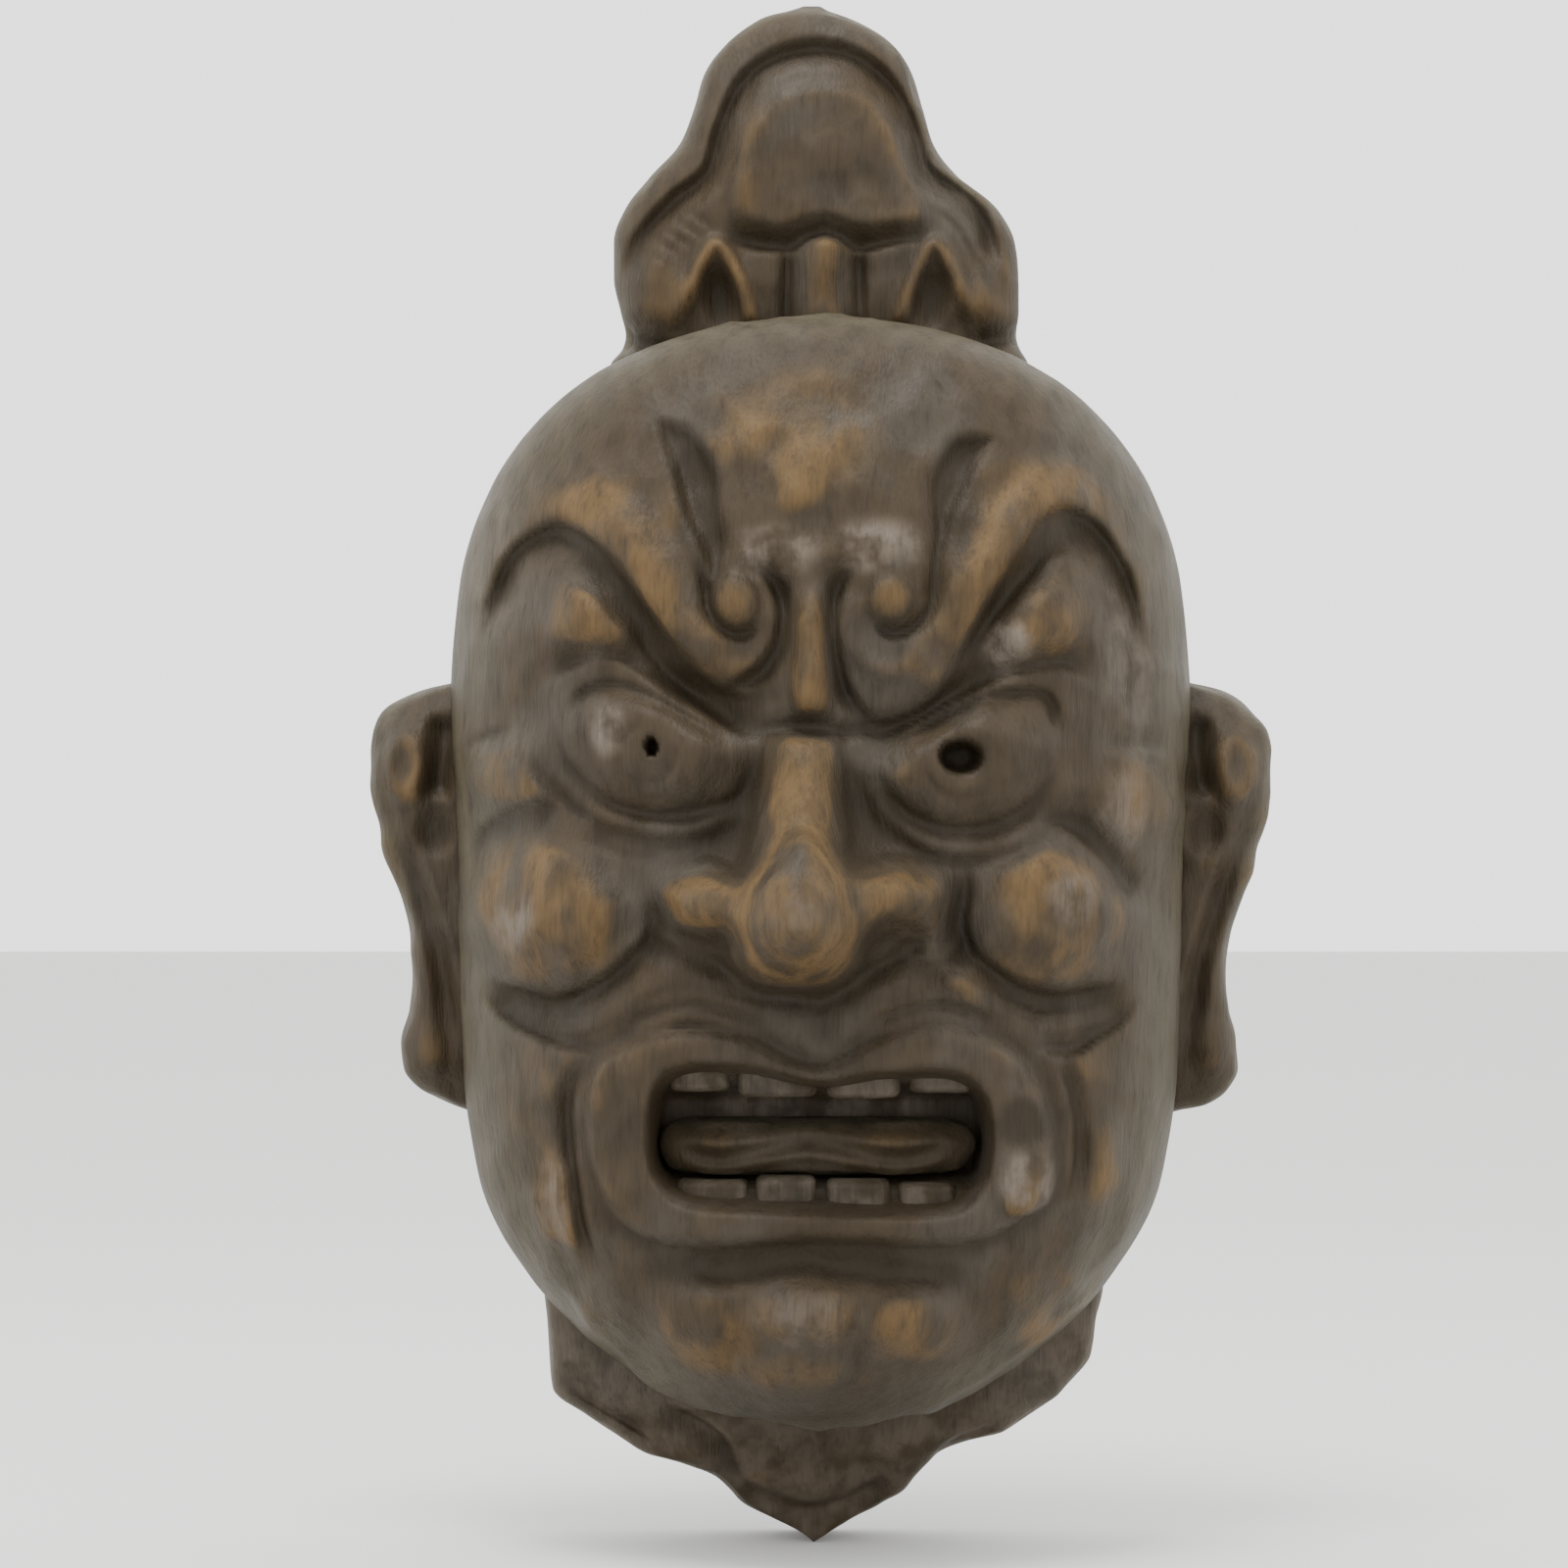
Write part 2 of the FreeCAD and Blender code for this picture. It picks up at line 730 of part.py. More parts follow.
def rectangle(body, name, plane, left, right, low, high, offset):
    """A sketch of one rectangle on an origin plane of the body, moved off it by offset."""
    sketch = body.newObject("Sketcher::SketchObject", name)
    planes = {f.Role: f for f in body.Origin.OriginFeatures}
    sketch.AttachmentSupport = [(planes[plane], "")]
    sketch.MapMode = "FlatFace"
    sketch.setExpression("AttachmentOffset.Base.z", cells(offset))
    corners = [Vector(0, 0, 0), Vector(1, 0, 0), Vector(1, 1, 0), Vector(0, 1, 0)]
    for a, b in zip(corners, corners[1:] + corners[:1]):
        sketch.addGeometry(Part.LineSegment(a, b))
    for i in range(4):
        sketch.addConstraint(Sketcher.Constraint("Coincident", i, 2, (i + 1) % 4, 1))
    for i in (0, 2):
        sketch.addConstraint(Sketcher.Constraint("Horizontal", i))
    for i in (1, 3):
        sketch.addConstraint(Sketcher.Constraint("Vertical", i))
    limits = [("DistanceX", 0, 1, left), ("DistanceX", 0, 2, right)]
    limits += [("DistanceY", 0, 1, low), ("DistanceY", 2, 1, high)]
    for kind, line, end, expression in limits:
        constraint = Sketcher.Constraint(kind, line, end, 1.0)
        index = sketch.addConstraint(constraint)
        sketch.setExpression(f"Constraints[{index}]", cells(expression))
    return sketch


def batten_screw_bores(kind):
    """The four clearance holes of the batten's screws, through batten and head."""
    bores = []
    for x_side in (-1, 1):
        for level in ("low", "high"):
            bores.append(
                cylinder(
                    f"batten_{kind}_{x_side + 1}_{level}",
                    "batten_screw_radius + pilot_gap",
                    "batten_screw_length + 1",
                    Vector(0, -1, 0),
                    f"{x_side} * batten_screw_x",
                    "0",
                    f"batten_screw_{level}",
                )
            )
    return bores


def countersinks(kind, head, shank, places, y):
    """Conical seats for countersunk heads, their wide ends in the plane of the given y."""
    cones = []
    for number, (x, z) in enumerate(places):
        cone = doc.addObject("Part::Cone", f"{kind}_sink_{number}")
        bind(cone, Radius1=head, Radius2=shank, Height=f"{head} - {shank}")
        cone.Placement = Placement(Vector(), Rotation(Vector(0, 0, 1), Vector(0, -1, 0)))
        place(cone, x, y, z)
        cones.append(cone)
    return cones


BATTEN_SCREW_PLACES = [
    (f"{side} * batten_screw_x", f"batten_screw_{level}")
    for side in (-1, 1)
    for level in ("low", "high")
]
HANGER_SCREW_PLACES = [
    ("0", "pivot_height - hanger_screw_first"),
    ("0", "pivot_height - hanger_screw_second"),
]


def batten():
    """The wooden bar across the hollow, with a recess for the hanger."""
    body = doc.addObject("PartDesign::Body", "batten_body")
    outline = rectangle(
        body, "batten_outline", "XZ_Plane", "-1 * batten_half_length", "batten_half_length",
        "batten_bottom", "batten_top", "0",
    )
    pad = body.newObject("PartDesign::Pad", "batten_pad")
    pad.Profile = outline
    bind(pad, Length="batten_thickness")
    doc.recompute()
    whole = pad.Shape.Volume
    recess = rectangle(
        body, "hanger_recess", "XZ_Plane", "-1 * pocket_half_width", "pocket_half_width",
        "pivot_height - pocket_below", "pivot_height + pocket_above", "0",
    )
    pocket = body.newObject("PartDesign::Pocket", "hanger_pocket")
    pocket.Profile = recess
    pocket.Reversed = True
    bind(pocket, Length="pocket_depth")
    doc.recompute()
    assert pocket.Shape.Volume < whole, "the hanger's recess cuts nothing"
    tools = batten_screw_bores("clearance")
    tools += countersinks(
        "batten", "batten_screw_head + pilot_gap", "batten_screw_radius + pilot_gap",
        BATTEN_SCREW_PLACES, "0",
    )
    for number, (x, z) in enumerate(HANGER_SCREW_PLACES):
        tools.append(
            cylinder(
                f"hanger_pilot_{number}", "hanger_screw_radius + pilot_gap",
                "hanger_screw_length + 0.5", Vector(0, -1, 0), x,
                "strap_gauge - pocket_depth", z,
            )
        )
    return cut("batten", body, fuse("batten_tools", tools))


def screws(name, kind, places, y):
    """Countersunk screws with a straight slot, as one group of separate solids."""
    made = []
    for number, (x, z) in enumerate(places):
        shank = cylinder(
            f"{name}_shank_{number}", f"{kind}_screw_radius", f"{kind}_screw_length",
            Vector(0, -1, 0), x, y, z,
        )
        head = doc.addObject("Part::Cone", f"{name}_head_{number}")
        bind(head, Radius1=f"{kind}_screw_head", Radius2=f"{kind}_screw_radius")
        bind(head, Height=f"{kind}_screw_head - {kind}_screw_radius")
        head.Placement = Placement(Vector(), Rotation(Vector(0, 0, 1), Vector(0, -1, 0)))
        place(head, x, y, z)
        slot = box(
            f"{name}_slot_{number}", f"2 * {kind}_screw_head", "1", "0.8",
            f"{x} - {kind}_screw_head", f"{y} - 0.7", f"{z} - 0.4",
        )
        solid = fuse(f"{name}_solid_{number}", [shank, head])
        made.append(cut(f"{name}_{number}", solid, slot))
    return compound(name, made)


def hanger_strap():
    """The strap: a flat tab with a rolled barrel at its upper end, which holds the ring."""
    tab = box(
        "strap_tab", "strap_width", "strap_gauge", "strap_below + strap_above",
        "-0.5 * strap_width", "-1 * pocket_depth", "pivot_height - strap_below",
    )
    barrel = cylinder(
        "strap_barrel", "barrel_radius", "strap_width", Vector(1, 0, 0),
        "-0.5 * strap_width", "pivot_offset - pocket_depth", "pivot_height",
    )
    bore = cylinder(
        "strap_bore", "ring_wire_radius + ring_gap", "strap_width + 2", Vector(1, 0, 0),
        "-0.5 * strap_width - 1", "pivot_offset - pocket_depth", "pivot_height",
    )
    face = "strap_gauge - pocket_depth"
    tools = [bore]
    tools += countersinks(
        "strap", "hanger_screw_head + pilot_gap", "hanger_screw_radius + pilot_gap",
        HANGER_SCREW_PLACES, face,
    )
    for number, (x, z) in enumerate(HANGER_SCREW_PLACES):
        tools.append(
            cylinder(
                f"strap_hole_{number}", "hanger_screw_radius + pilot_gap", "strap_gauge + 1",
                Vector(0, -1, 0), x, face, z,
            )
        )
    return cut("hanger_strap", fuse("strap_body", [tab, barrel]), fuse("strap_tools", tools))


def hanger_ring():
    """The ring: one round wire along a straight bar, two corners, two legs and a half circle."""
    half = size("ring_half_width")
    corner = size("ring_corner")
    leg = size("ring_leg")
    turn = corner * math.sqrt(0.5)
    right = [Vector(half - corner, 0, 0), Vector(half - corner + turn, 0, turn - corner)]
    right += [Vector(half, 0, -corner), Vector(half, 0, -leg)]
    left = [Vector(-p.x, 0, p.z) for p in right]
    edges = [
        Part.LineSegment(left[0], right[0]).toShape(),
        Part.Arc(right[0], right[1], right[2]).toShape(),
        Part.LineSegment(right[2], right[3]).toShape(),
        Part.Arc(right[3], Vector(0, 0, -leg - half), left[3]).toShape(),
        Part.LineSegment(left[3], left[2]).toShape(),
        Part.Arc(left[2], left[1], left[0]).toShape(),
    ]
    path = Part.Wire(edges)
    circle = Part.Circle(left[0], Vector(1, 0, 0), size("ring_wire_radius"))
    profile = Part.Wire([circle.toShape()])
    ring = carved("hanger_ring", path.makePipeShell([profile], True, False))
    place(ring, "0", "pivot_offset - pocket_depth", "pivot_height")
    return ring


# The mask

def build():
    """Makes every sub-part and returns {node name: object}."""
    upper_edge = "mouth_height + mouth_half_height"
    lower_edge = "mouth_height - mouth_half_height"
    parts = {
        "face_block": face_block(),
        "topknot": topknot(),
        "ear_left": ear_block("left"),
        "ear_right": ear_block("right"),
        "collar": collar(),
        "upper_teeth": teeth("upper_teeth", upper_edge, "- gum_height", "- tooth_height"),
        "lower_teeth": teeth("lower_teeth", lower_edge, "", ""),
        "tongue": tongue(),
        "batten": batten(),
        "batten_screws": screws("batten_screws", "batten", BATTEN_SCREW_PLACES, "0"),
        "hanger_strap": hanger_strap(),
        "hanger_ring": hanger_ring(),
        "hanger_screws": screws(
            "hanger_screws", "hanger", HANGER_SCREW_PLACES, "strap_gauge - pocket_depth"
        ),
    }
    for joint in ("topknot", "collar", "ear_left", "ear_right"):
        parts[f"{joint}_dowels"] = compound(f"{joint}_dowels", dowels(joint, "dowel"))
    return parts


def export(parts):
    """Checks every object and shape, then writes each sub-part's STEP file."""
    doc.recompute()
    for thing in doc.Objects:
        if "Invalid" in thing.State or "Error" in thing.State:
            raise SystemExit(f"{thing.Name} failed: {thing.State}")
    for name, thing in parts.items():
        shape = thing.Shape
        if shape.isNull() or not shape.isValid():
            raise SystemExit(f"{name} has no valid shape")
        thing.Label = name
    os.makedirs(OUT, exist_ok=True)
    for name, thing in parts.items():
        thing.Shape.exportStep(os.path.join(OUT, f"{name}.step"))
        solids = len(thing.Shape.Solids)
        print(f"{name}: {solids} solid(s), {thing.Shape.Volume / 1000:.2f} cm3")


export(build())
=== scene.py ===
"""A carved guardian mask for a wall: its looks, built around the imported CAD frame.

Shapes are worked out in millimetres in the mask's own frame, with x to the viewer's right, z up
and depth measured from the wall towards the viewer, and become metres when a mesh is made. The
mask's own left is at +x. Each carved block starts as a Shell of plain horizontal sections, and
a Relief holds how far every point of the shell is raised or cut, as a carver works it.
"""

import math

import bpy
import numpy as np
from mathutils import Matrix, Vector


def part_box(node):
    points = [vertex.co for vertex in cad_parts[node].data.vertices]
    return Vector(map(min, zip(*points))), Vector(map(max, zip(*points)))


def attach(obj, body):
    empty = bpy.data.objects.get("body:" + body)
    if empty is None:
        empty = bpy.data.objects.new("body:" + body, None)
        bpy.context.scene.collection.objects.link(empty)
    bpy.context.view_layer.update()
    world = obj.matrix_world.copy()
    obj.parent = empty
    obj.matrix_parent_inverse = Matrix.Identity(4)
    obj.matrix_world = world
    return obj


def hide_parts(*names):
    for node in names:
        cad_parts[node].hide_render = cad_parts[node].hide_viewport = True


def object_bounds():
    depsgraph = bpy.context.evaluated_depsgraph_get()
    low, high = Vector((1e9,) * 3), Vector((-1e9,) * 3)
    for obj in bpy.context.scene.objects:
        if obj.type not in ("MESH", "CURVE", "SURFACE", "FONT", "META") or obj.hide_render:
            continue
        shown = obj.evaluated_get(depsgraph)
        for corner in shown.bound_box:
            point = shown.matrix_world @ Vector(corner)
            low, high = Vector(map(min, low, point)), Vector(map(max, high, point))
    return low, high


MM = 0.001
GOLDEN_TURN = 2.39996  # radians, spreads facets evenly over a ball
SENSOR_WIDTH = 36
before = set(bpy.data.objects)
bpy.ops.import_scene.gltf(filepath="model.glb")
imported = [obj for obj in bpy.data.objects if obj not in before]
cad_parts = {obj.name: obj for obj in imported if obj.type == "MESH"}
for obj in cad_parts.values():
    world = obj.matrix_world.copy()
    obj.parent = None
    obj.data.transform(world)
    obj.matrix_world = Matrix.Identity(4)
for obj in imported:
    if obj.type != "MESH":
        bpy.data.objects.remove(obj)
cad_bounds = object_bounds()


# Curves and small sums


def ease(t):
    """A smooth step from 0 to 1 as t goes from 0 to 1."""
    t = np.clip(t, 0.0, 1.0)
    return t * t * (3 - 2 * t)


def flow(knots, values, at):
    """Values between knots, on a smooth curve that never overshoots them."""
    knots, values = np.asarray(knots, float), np.asarray(values, float)
    at = np.clip(at, knots[0], knots[-1])
    steps = np.diff(values) / np.diff(knots)
    product, total = steps[:-1] * steps[1:], steps[:-1] + steps[1:]
    inner = np.where(product > 0, 2 * product / np.where(total == 0, 1, total), 0)
    slopes = np.concatenate([steps[:1], inner, steps[-1:]])
    i = np.clip(np.searchsorted(knots, at, "right") - 1, 0, len(knots) - 2)
    width = knots[i + 1] - knots[i]
    t = (at - knots[i]) / width
    start = values[i] * (1 + 2 * t) + slopes[i] * width * t
    end = values[i + 1] * (3 - 2 * t) - slopes[i + 1] * width * (1 - t)
    return start * (1 - t) ** 2 + end * t * t


def arc(centre, radius, start, end, count=9):
    """Points on a circle from one turn to another, in degrees anticlockwise from +x."""
    turns = np.radians(np.linspace(start, end, count))
    return [(centre[0] + radius * math.cos(t), centre[1] + radius * math.sin(t)) for t in turns]


def bend(points, closed=False, step=1.2):
    """A smooth line through the points, with a vertex about every step millimetres."""
    p = np.asarray(points, float)
    first, last = (p[-1:], p[:2]) if closed else (2 * p[:1] - p[1:2], 2 * p[-1:] - p[-2:-1])
    p = np.concatenate([first, p, last])
    line = []
    for a, b, c, d in zip(p, p[1:], p[2:], p[3:]):
        count = max(2, int(np.hypot(*(c - b)) / step))
        t = np.arange(count)[:, None] / count
        square = 2 * a - 5 * b + 4 * c - d
        line.append(b + 0.5 * t * (c - a + t * (square + t * (3 * (b - c) + d - a))))
    line.append(line[0][:1] if closed else p[-2:-1])
    return np.concatenate(line)


def nearest(x, z, line):
    """Each point's distance to the line, its side (its left is 1) and its place along it."""
    best = np.full(x.shape, np.inf)
    side = np.ones(x.shape)
    place = np.zeros(x.shape)
    lengths = np.hypot(*np.diff(line, axis=0).T)
    starts = np.concatenate([[0], np.cumsum(lengths)])
    for k, (a, b) in enumerate(zip(line, line[1:])):
        if lengths[k] == 0:
            continue
        run = b - a
        t = np.clip(((x - a[0]) * run[0] + (z - a[1]) * run[1]) / lengths[k] ** 2, 0, 1)
        dx = x - a[0] - t * run[0]
        dz = z - a[1] - t * run[1]
        distance = np.hypot(dx, dz)
        closer = distance < best
        best = np.where(closer, distance, best)
        side = np.where(closer, np.sign(run[0] * dz - run[1] * dx), side)
        place = np.where(closer, (starts[k] + t * lengths[k]) / starts[-1], place)
    return best, side, place


def inside(x, z, line):
    """Whether each point lies inside a closed line."""
    found = np.zeros(x.shape, bool)
    for (ax, az), (bx, bz) in zip(line, line[1:]):
        if az != bz:
            found ^= ((az > z) != (bz > z)) & (x < ax + (z - az) * (bx - ax) / (bz - az))
    return found


def ripple(x, z, wave, seed):
    """Smooth noise about 1 high, with bumps about wave millimetres long."""
    rng = np.random.default_rng(seed)
    total = np.zeros(x.shape)
    for _ in range(14):
        turn = rng.uniform(0, math.tau)
        pace = math.tau / (wave * rng.uniform(0.7, 1.6))
        total += np.sin(pace * (x * math.cos(turn) + z * math.sin(turn)) + rng.uniform(0, 6))
    return total / 3.7


def blurred(grid, radius):
    """The grid averaged over a square of that radius, twice, its edges repeated."""
    for _ in range(2):
        for axis in (0, 1):
            ends = [(0, 0), (0, 0)]
            ends[axis] = (radius + 1, radius)
            sums = np.cumsum(np.pad(grid, ends, mode="edge"), axis=axis)
            span = sums.shape[axis] - 2 * radius - 1
            high = np.take(sums, range(2 * radius + 1, sums.shape[axis]), axis=axis)
            grid = (high - np.take(sums, range(span), axis=axis)) / (2 * radius + 1)
    return grid


# Carving


class Relief:
    """How far a surface is raised over its points (x, z), in millimetres."""

    def __init__(self, x, z):
        self.x = x.ravel()
        self.z = z.ravel()
        self.h = np.zeros(self.x.shape)

    def near(self, points, reach):
        """The points in the box round some points, grown by reach."""
        p = np.asarray(points, float)
        low, high = p.min(0) - reach, p.max(0) + reach
        across = (self.x > low[0]) & (self.x < high[0])
        return np.nonzero(across & (self.z > low[1]) & (self.z < high[1]))[0]

    def along(self, points, reach, start, end, closed=False):
        """Points near a line, their distance and side, and how far the stroke has faded in."""
        i = self.near(points, reach + 1)
        distance, side, place = nearest(self.x[i], self.z[i], bend(points, closed))
        if closed:
            return i, distance, side, 1.0
        fade = ease(place / max(start, 1e-6)) * ease((1 - place) / max(end, 1e-6))
        return i, distance, side, fade

    def cut(self, points, depth, wall, slope, start=0.25, end=0.25):
        """A knife cut along a line: a steep wall on its left and a gentle slope on its right."""
        i, distance, side, fade = self.along(points, max(wall, slope), start, end)
        self.h[i] -= depth * fade * (1 - ease(distance / np.where(side > 0, wall, slope)))

    def ridge(self, points, rise, width, start=0.25, end=0.25):
        """A rounded ridge along a line, or a round furrow where rise is below 0."""
        i, distance, _, fade = self.along(points, width, start, end)
        self.h[i] += rise * fade * (1 - np.clip(distance / width, 0, 1) ** 2) ** 2

    def plateau(self, points, rise, edge, lean=(0.0, 0.0)):
        """The inside of a closed line raised, with an edge that wide inside the line.

        Lean is how much more it rises for each millimetre across and upwards."""
        i, distance, _, _ = self.along(points, 0, 0, 0, closed=True)
        inner = inside(self.x[i], self.z[i], bend(points, closed=True))
        centre = np.mean(points, axis=0)
        top = rise + lean[0] * (self.x[i] - centre[0]) + lean[1] * (self.z[i] - centre[1])
        self.h[i] += np.where(inner, top * ease(distance / edge), 0)

    def rim(self, points, depth, within, beyond):
        """A groove round a closed line, with one width inside the line and one outside."""
        i, distance, _, _ = self.along(points, max(within, beyond), 0, 0, closed=True)
        inner = inside(self.x[i], self.z[i], bend(points, closed=True))
        self.h[i] -= depth * (1 - ease(distance / np.where(inner, within, beyond)))

    def local(self, centre, half_x, half_z, tilt):
        """Points within a tilted ellipse, with their places across it from -1 to 1."""
        i = self.near([centre], max(half_x, half_z))
        c, s = math.cos(math.radians(tilt)), math.sin(math.radians(tilt))
        dx, dz = self.x[i] - centre[0], self.z[i] - centre[1]
        u = (dx * c + dz * s) / half_x
        v = (dz * c - dx * s) / half_z
        keep = u * u + v * v < 1
        return i[keep], u[keep], v[keep]

    def dome(self, centre, half_x, half_z, rise, tilt=0.0, flat=1.0):
        """A rounded swelling over a tilted ellipse. A larger flat makes a flatter top."""
        i, u, v = self.local(centre, half_x, half_z, tilt)
        self.h[i] += rise * (1 - (u * u + v * v) ** flat) ** 2

    def ball(self, centre, half_x, half_z, rise, facets, seed, tilt=0.0, crisp=0.8):
        """A swelling whose top is cut into flat gouge facets."""
        i, u, v = self.local(centre, half_x, half_z, tilt)
        rng = np.random.default_rng(seed)
        whole = 1 - u * u - v * v
        planes = np.full(u.shape, np.inf)
        for k in range(facets):
            radius = 0.86 * math.sqrt((k + 0.35) / facets)
            turn = k * GOLDEN_TURN + rng.uniform(-0.25, 0.25)
            a, b = radius * math.cos(turn), radius * math.sin(turn)
            planes = np.minimum(planes, 1 + a * a + b * b - 2 * (a * u + b * v))
        top = (1 - crisp) * whole + crisp * planes
        self.h[i] += rise * top * ease(whole / 0.85)

    def chips(self, size, depth, seed, where=1.0, stretch=1.0):
        """Shallow gouge scallops about size millimetres wide and stretch times as tall."""
        rng = np.random.default_rng(seed)
        sites = rng.uniform(0, 1, (256, 2))
        u, v = self.x / size, self.z / (size * stretch)
        cu, cv = np.floor(u).astype(int), np.floor(v).astype(int)
        best = np.full(u.shape, 9.0)
        for du in (-1, 0, 1):
            for dv in (-1, 0, 1):
                key = ((cu + du) * 73 + (cv + dv) * 151) % 256
                px, pz = cu + du + sites[key, 0], cv + dv + sites[key, 1]
                best = np.minimum(best, (u - px) ** 2 + (v - pz) ** 2)
        self.h += depth * where * (np.clip(best, 0, 1) - 0.35)


# Shells


class Shell:
    """A closed shell of horizontal sections: rows upwards, columns round each section.

    Sections are (height, left x, right x, front depth, back depth) from the bottom up. Rows and
    columns are closest together between the heights in fine, and on the front."""

    def __init__(self, sections, rows, front_columns, back_columns, roundness=2.15, fine=None):
        table = np.asarray(sections, float)
        steps = np.hypot(np.diff(table[:, 0]), 0.5 * np.diff(table[:, 2] - table[:, 1]))
        knots = np.concatenate([[0], np.cumsum(np.maximum(steps, 0.5))])
        t = np.linspace(0, knots[-1], 4000)
        if fine:
            height = flow(knots, table[:, 0], t)
            weight = np.where((height > fine[0]) & (height < fine[1]), 1.0, 0.6)
            t = np.interp(np.linspace(0, 1, rows), np.cumsum(weight) / weight.sum(), t)
            t[0] = 0
        else:
            t = np.linspace(0, knots[-1], rows)
        height, left, right, front, back = (flow(knots, table[:, k], t) for k in range(5))
        middle, half = (left + right) / 2, (right - left) / 2
        centre, thick = (front + back) / 2, (front - back) / 2
        power = 2 / roundness
        turns = self.turns(front_columns, back_columns, half.max(), thick.max(), power)
        c, s = np.cos(turns), np.sin(turns)
        self.x = middle[:, None] + half[:, None] * (np.sign(c) * np.abs(c) ** power)[None, :]
        self.d = centre[:, None] + thick[:, None] * (np.sign(s) * np.abs(s) ** power)[None, :]
        self.z = np.repeat(height[:, None], len(turns), axis=1)
        self.front = np.broadcast_to(ease(s * 2.5)[None, :], self.x.shape)
        self.relief = Relief(self.x, self.z)

    @staticmethod
    def turns(front_columns, back_columns, half, thick, power):
        """Turns round a section: 0 is at +x, a quarter turn in front, half a turn at -x."""
        fine = np.linspace(0, math.pi, 4001)
        x = half * np.sign(np.cos(fine)) * np.abs(np.cos(fine)) ** power
        d = 0.4 * thick * np.sin(fine) ** power
        length = np.concatenate([[0], np.cumsum(np.hypot(np.diff(x), np.diff(d)))])
        front = np.interp(np.linspace(0, length[-1], front_columns + 1), length, fine)
        back = np.interp(np.linspace(0, length[-1], back_columns + 1), length, fine)
        return np.concatenate([front[:-1], math.pi + back[:-1]])

    def normals(self, points):
        """Outward directions at a grid of points that wraps round each row."""
        down = np.gradient(points, axis=0)
        wrapped = np.concatenate([points[:, -1:], points, points[:, :1]], axis=1)
        normal = np.cross((wrapped[:, 2:] - wrapped[:, :-2]) / 2, down)
        normal /= np.maximum(np.linalg.norm(normal, axis=-1, keepdims=True), 1e-9)
        return normal if (normal[..., 1] * self.front).sum() < 0 else -normal

    def raised(self):
        """The points moved by the relief: towards the viewer in front, outwards at the sides."""
        points = np.stack([self.x, -self.d, self.z], axis=-1)
        normal = self.normals(points)
        facing = ease((-normal[..., 1:2] - 0.15) / 0.5)
        way = normal * (1 - facing) + np.array([0.0, -1.0, 0.0]) * facing
        way /= np.maximum(np.linalg.norm(way, axis=-1, keepdims=True), 1e-9)
        rough = self.relief.h.reshape(self.x.shape)
        self.h = (0.5 * rough + 0.5 * blurred(rough, 1)) * self.front
        # how far turned from the viewer; it drives the painted sheen on the sides
        self.turned = 1 - ease((-normal[..., 1] - 0.25) / 0.6)
        return points + way * self.h[..., None]

    def marks(self, spacing):
        """Painted shade in creases and hollows, how proud and how turned from the viewer, 0 to
        1.
        """
        fine = blurred(self.h, max(1, round(2.2 / spacing))) - self.h
        wide = blurred(self.h, max(2, round(10 / spacing))) - self.h
        # painted shade: darker where a point lies below the surface around it, in creases and
        # hollows
        hollow = 0.3 * np.clip(fine / 0.9, 0, 1) + 0.6 * np.clip(wide / 4.5, 0, 1)
        return {"hollow": hollow, "proud": np.clip(-wide / 4.0, 0, 1), "turned": self.turned}


def new_piece(name, mesh):
    """An object for a mesh, shaded smooth, linked to the scene."""
    mesh.shade_smooth()
    piece = bpy.data.objects.new(name, mesh)
    bpy.context.scene.collection.objects.link(piece)
    return piece


def grid_piece(name, points, marks=None):
    """A closed mesh from a grid of points that wraps round each row, with its ends fanned."""
    rows, columns, _ = points.shape
    ends = np.stack([points[0].mean(0), points[-1].mean(0)])
    places = np.concatenate([points.reshape(-1, 3), ends]) * MM
    j, i = np.meshgrid(np.arange(rows - 1), np.arange(columns), indexing="ij")
    a, b = j * columns + i, j * columns + (i + 1) % columns
    quads = np.stack([a, b, b + columns, a + columns], axis=-1).reshape(-1, 4)
    i = np.arange(columns)
    beside, top = (i + 1) % columns, (rows - 1) * columns
    foot = np.stack([np.full(columns, rows * columns), beside, i], axis=-1)
    head = np.stack([np.full(columns, rows * columns + 1), top + i, top + beside], axis=-1)
    mesh = bpy.data.meshes.new(name)
    mesh.from_pydata(places.tolist(), [], quads.tolist() + foot.tolist() + head.tolist())
    for key, values in (marks or {}).items():
        layer = mesh.attributes.new(key, "FLOAT", "POINT")
        layer.data.foreach_set("value", np.append(values.ravel(), [0.3, 0.3]).astype(np.float32))
    p, q, r = places[quads[:, 0]], places[quads[:, 1]], places[quads[:, 2]]
    if (np.cross(q, r) * p).sum() < 0:
        mesh.flip_normals()
    return new_piece(name, mesh)


# The face block

# Height, half width, front depth and depth of the widest line, from the chin up.
HEAD = [
    (-185, 3, 84, 62), (-181, 34, 92, 52), (-167, 61, 105, 42), (-144, 85, 116, 38),
    (-117, 99.5, 121, 36), (-82, 104.7, 122, 36), (-32, 106.5, 122, 36), (23, 108.3, 124, 36),
    (58, 105.5, 125, 38), (86, 96, 119, 46), (112, 74, 111, 59), (126, 48, 102, 66),
    (132, 24, 92, 72), (134, 3, 84, 76),
]

# The hollow behind it: height, half width and depth, from its foot up.
HOLLOW = [
    (-142, 20, 20), (-138, 36, 34), (-128, 55, 50), (-102, 69, 60), (-66, 74, 70), (-12, 72, 86),
    (38, 68, 78), (74, 56, 58), (92, 36, 34), (95, 20, 20),
]

MOUTH_FLOOR = 86
GUM_RISE = 17
# Heights where the gums begin to rise from the mouth's floor, above and below.
GUM_HEIGHTS = (-90, -109)
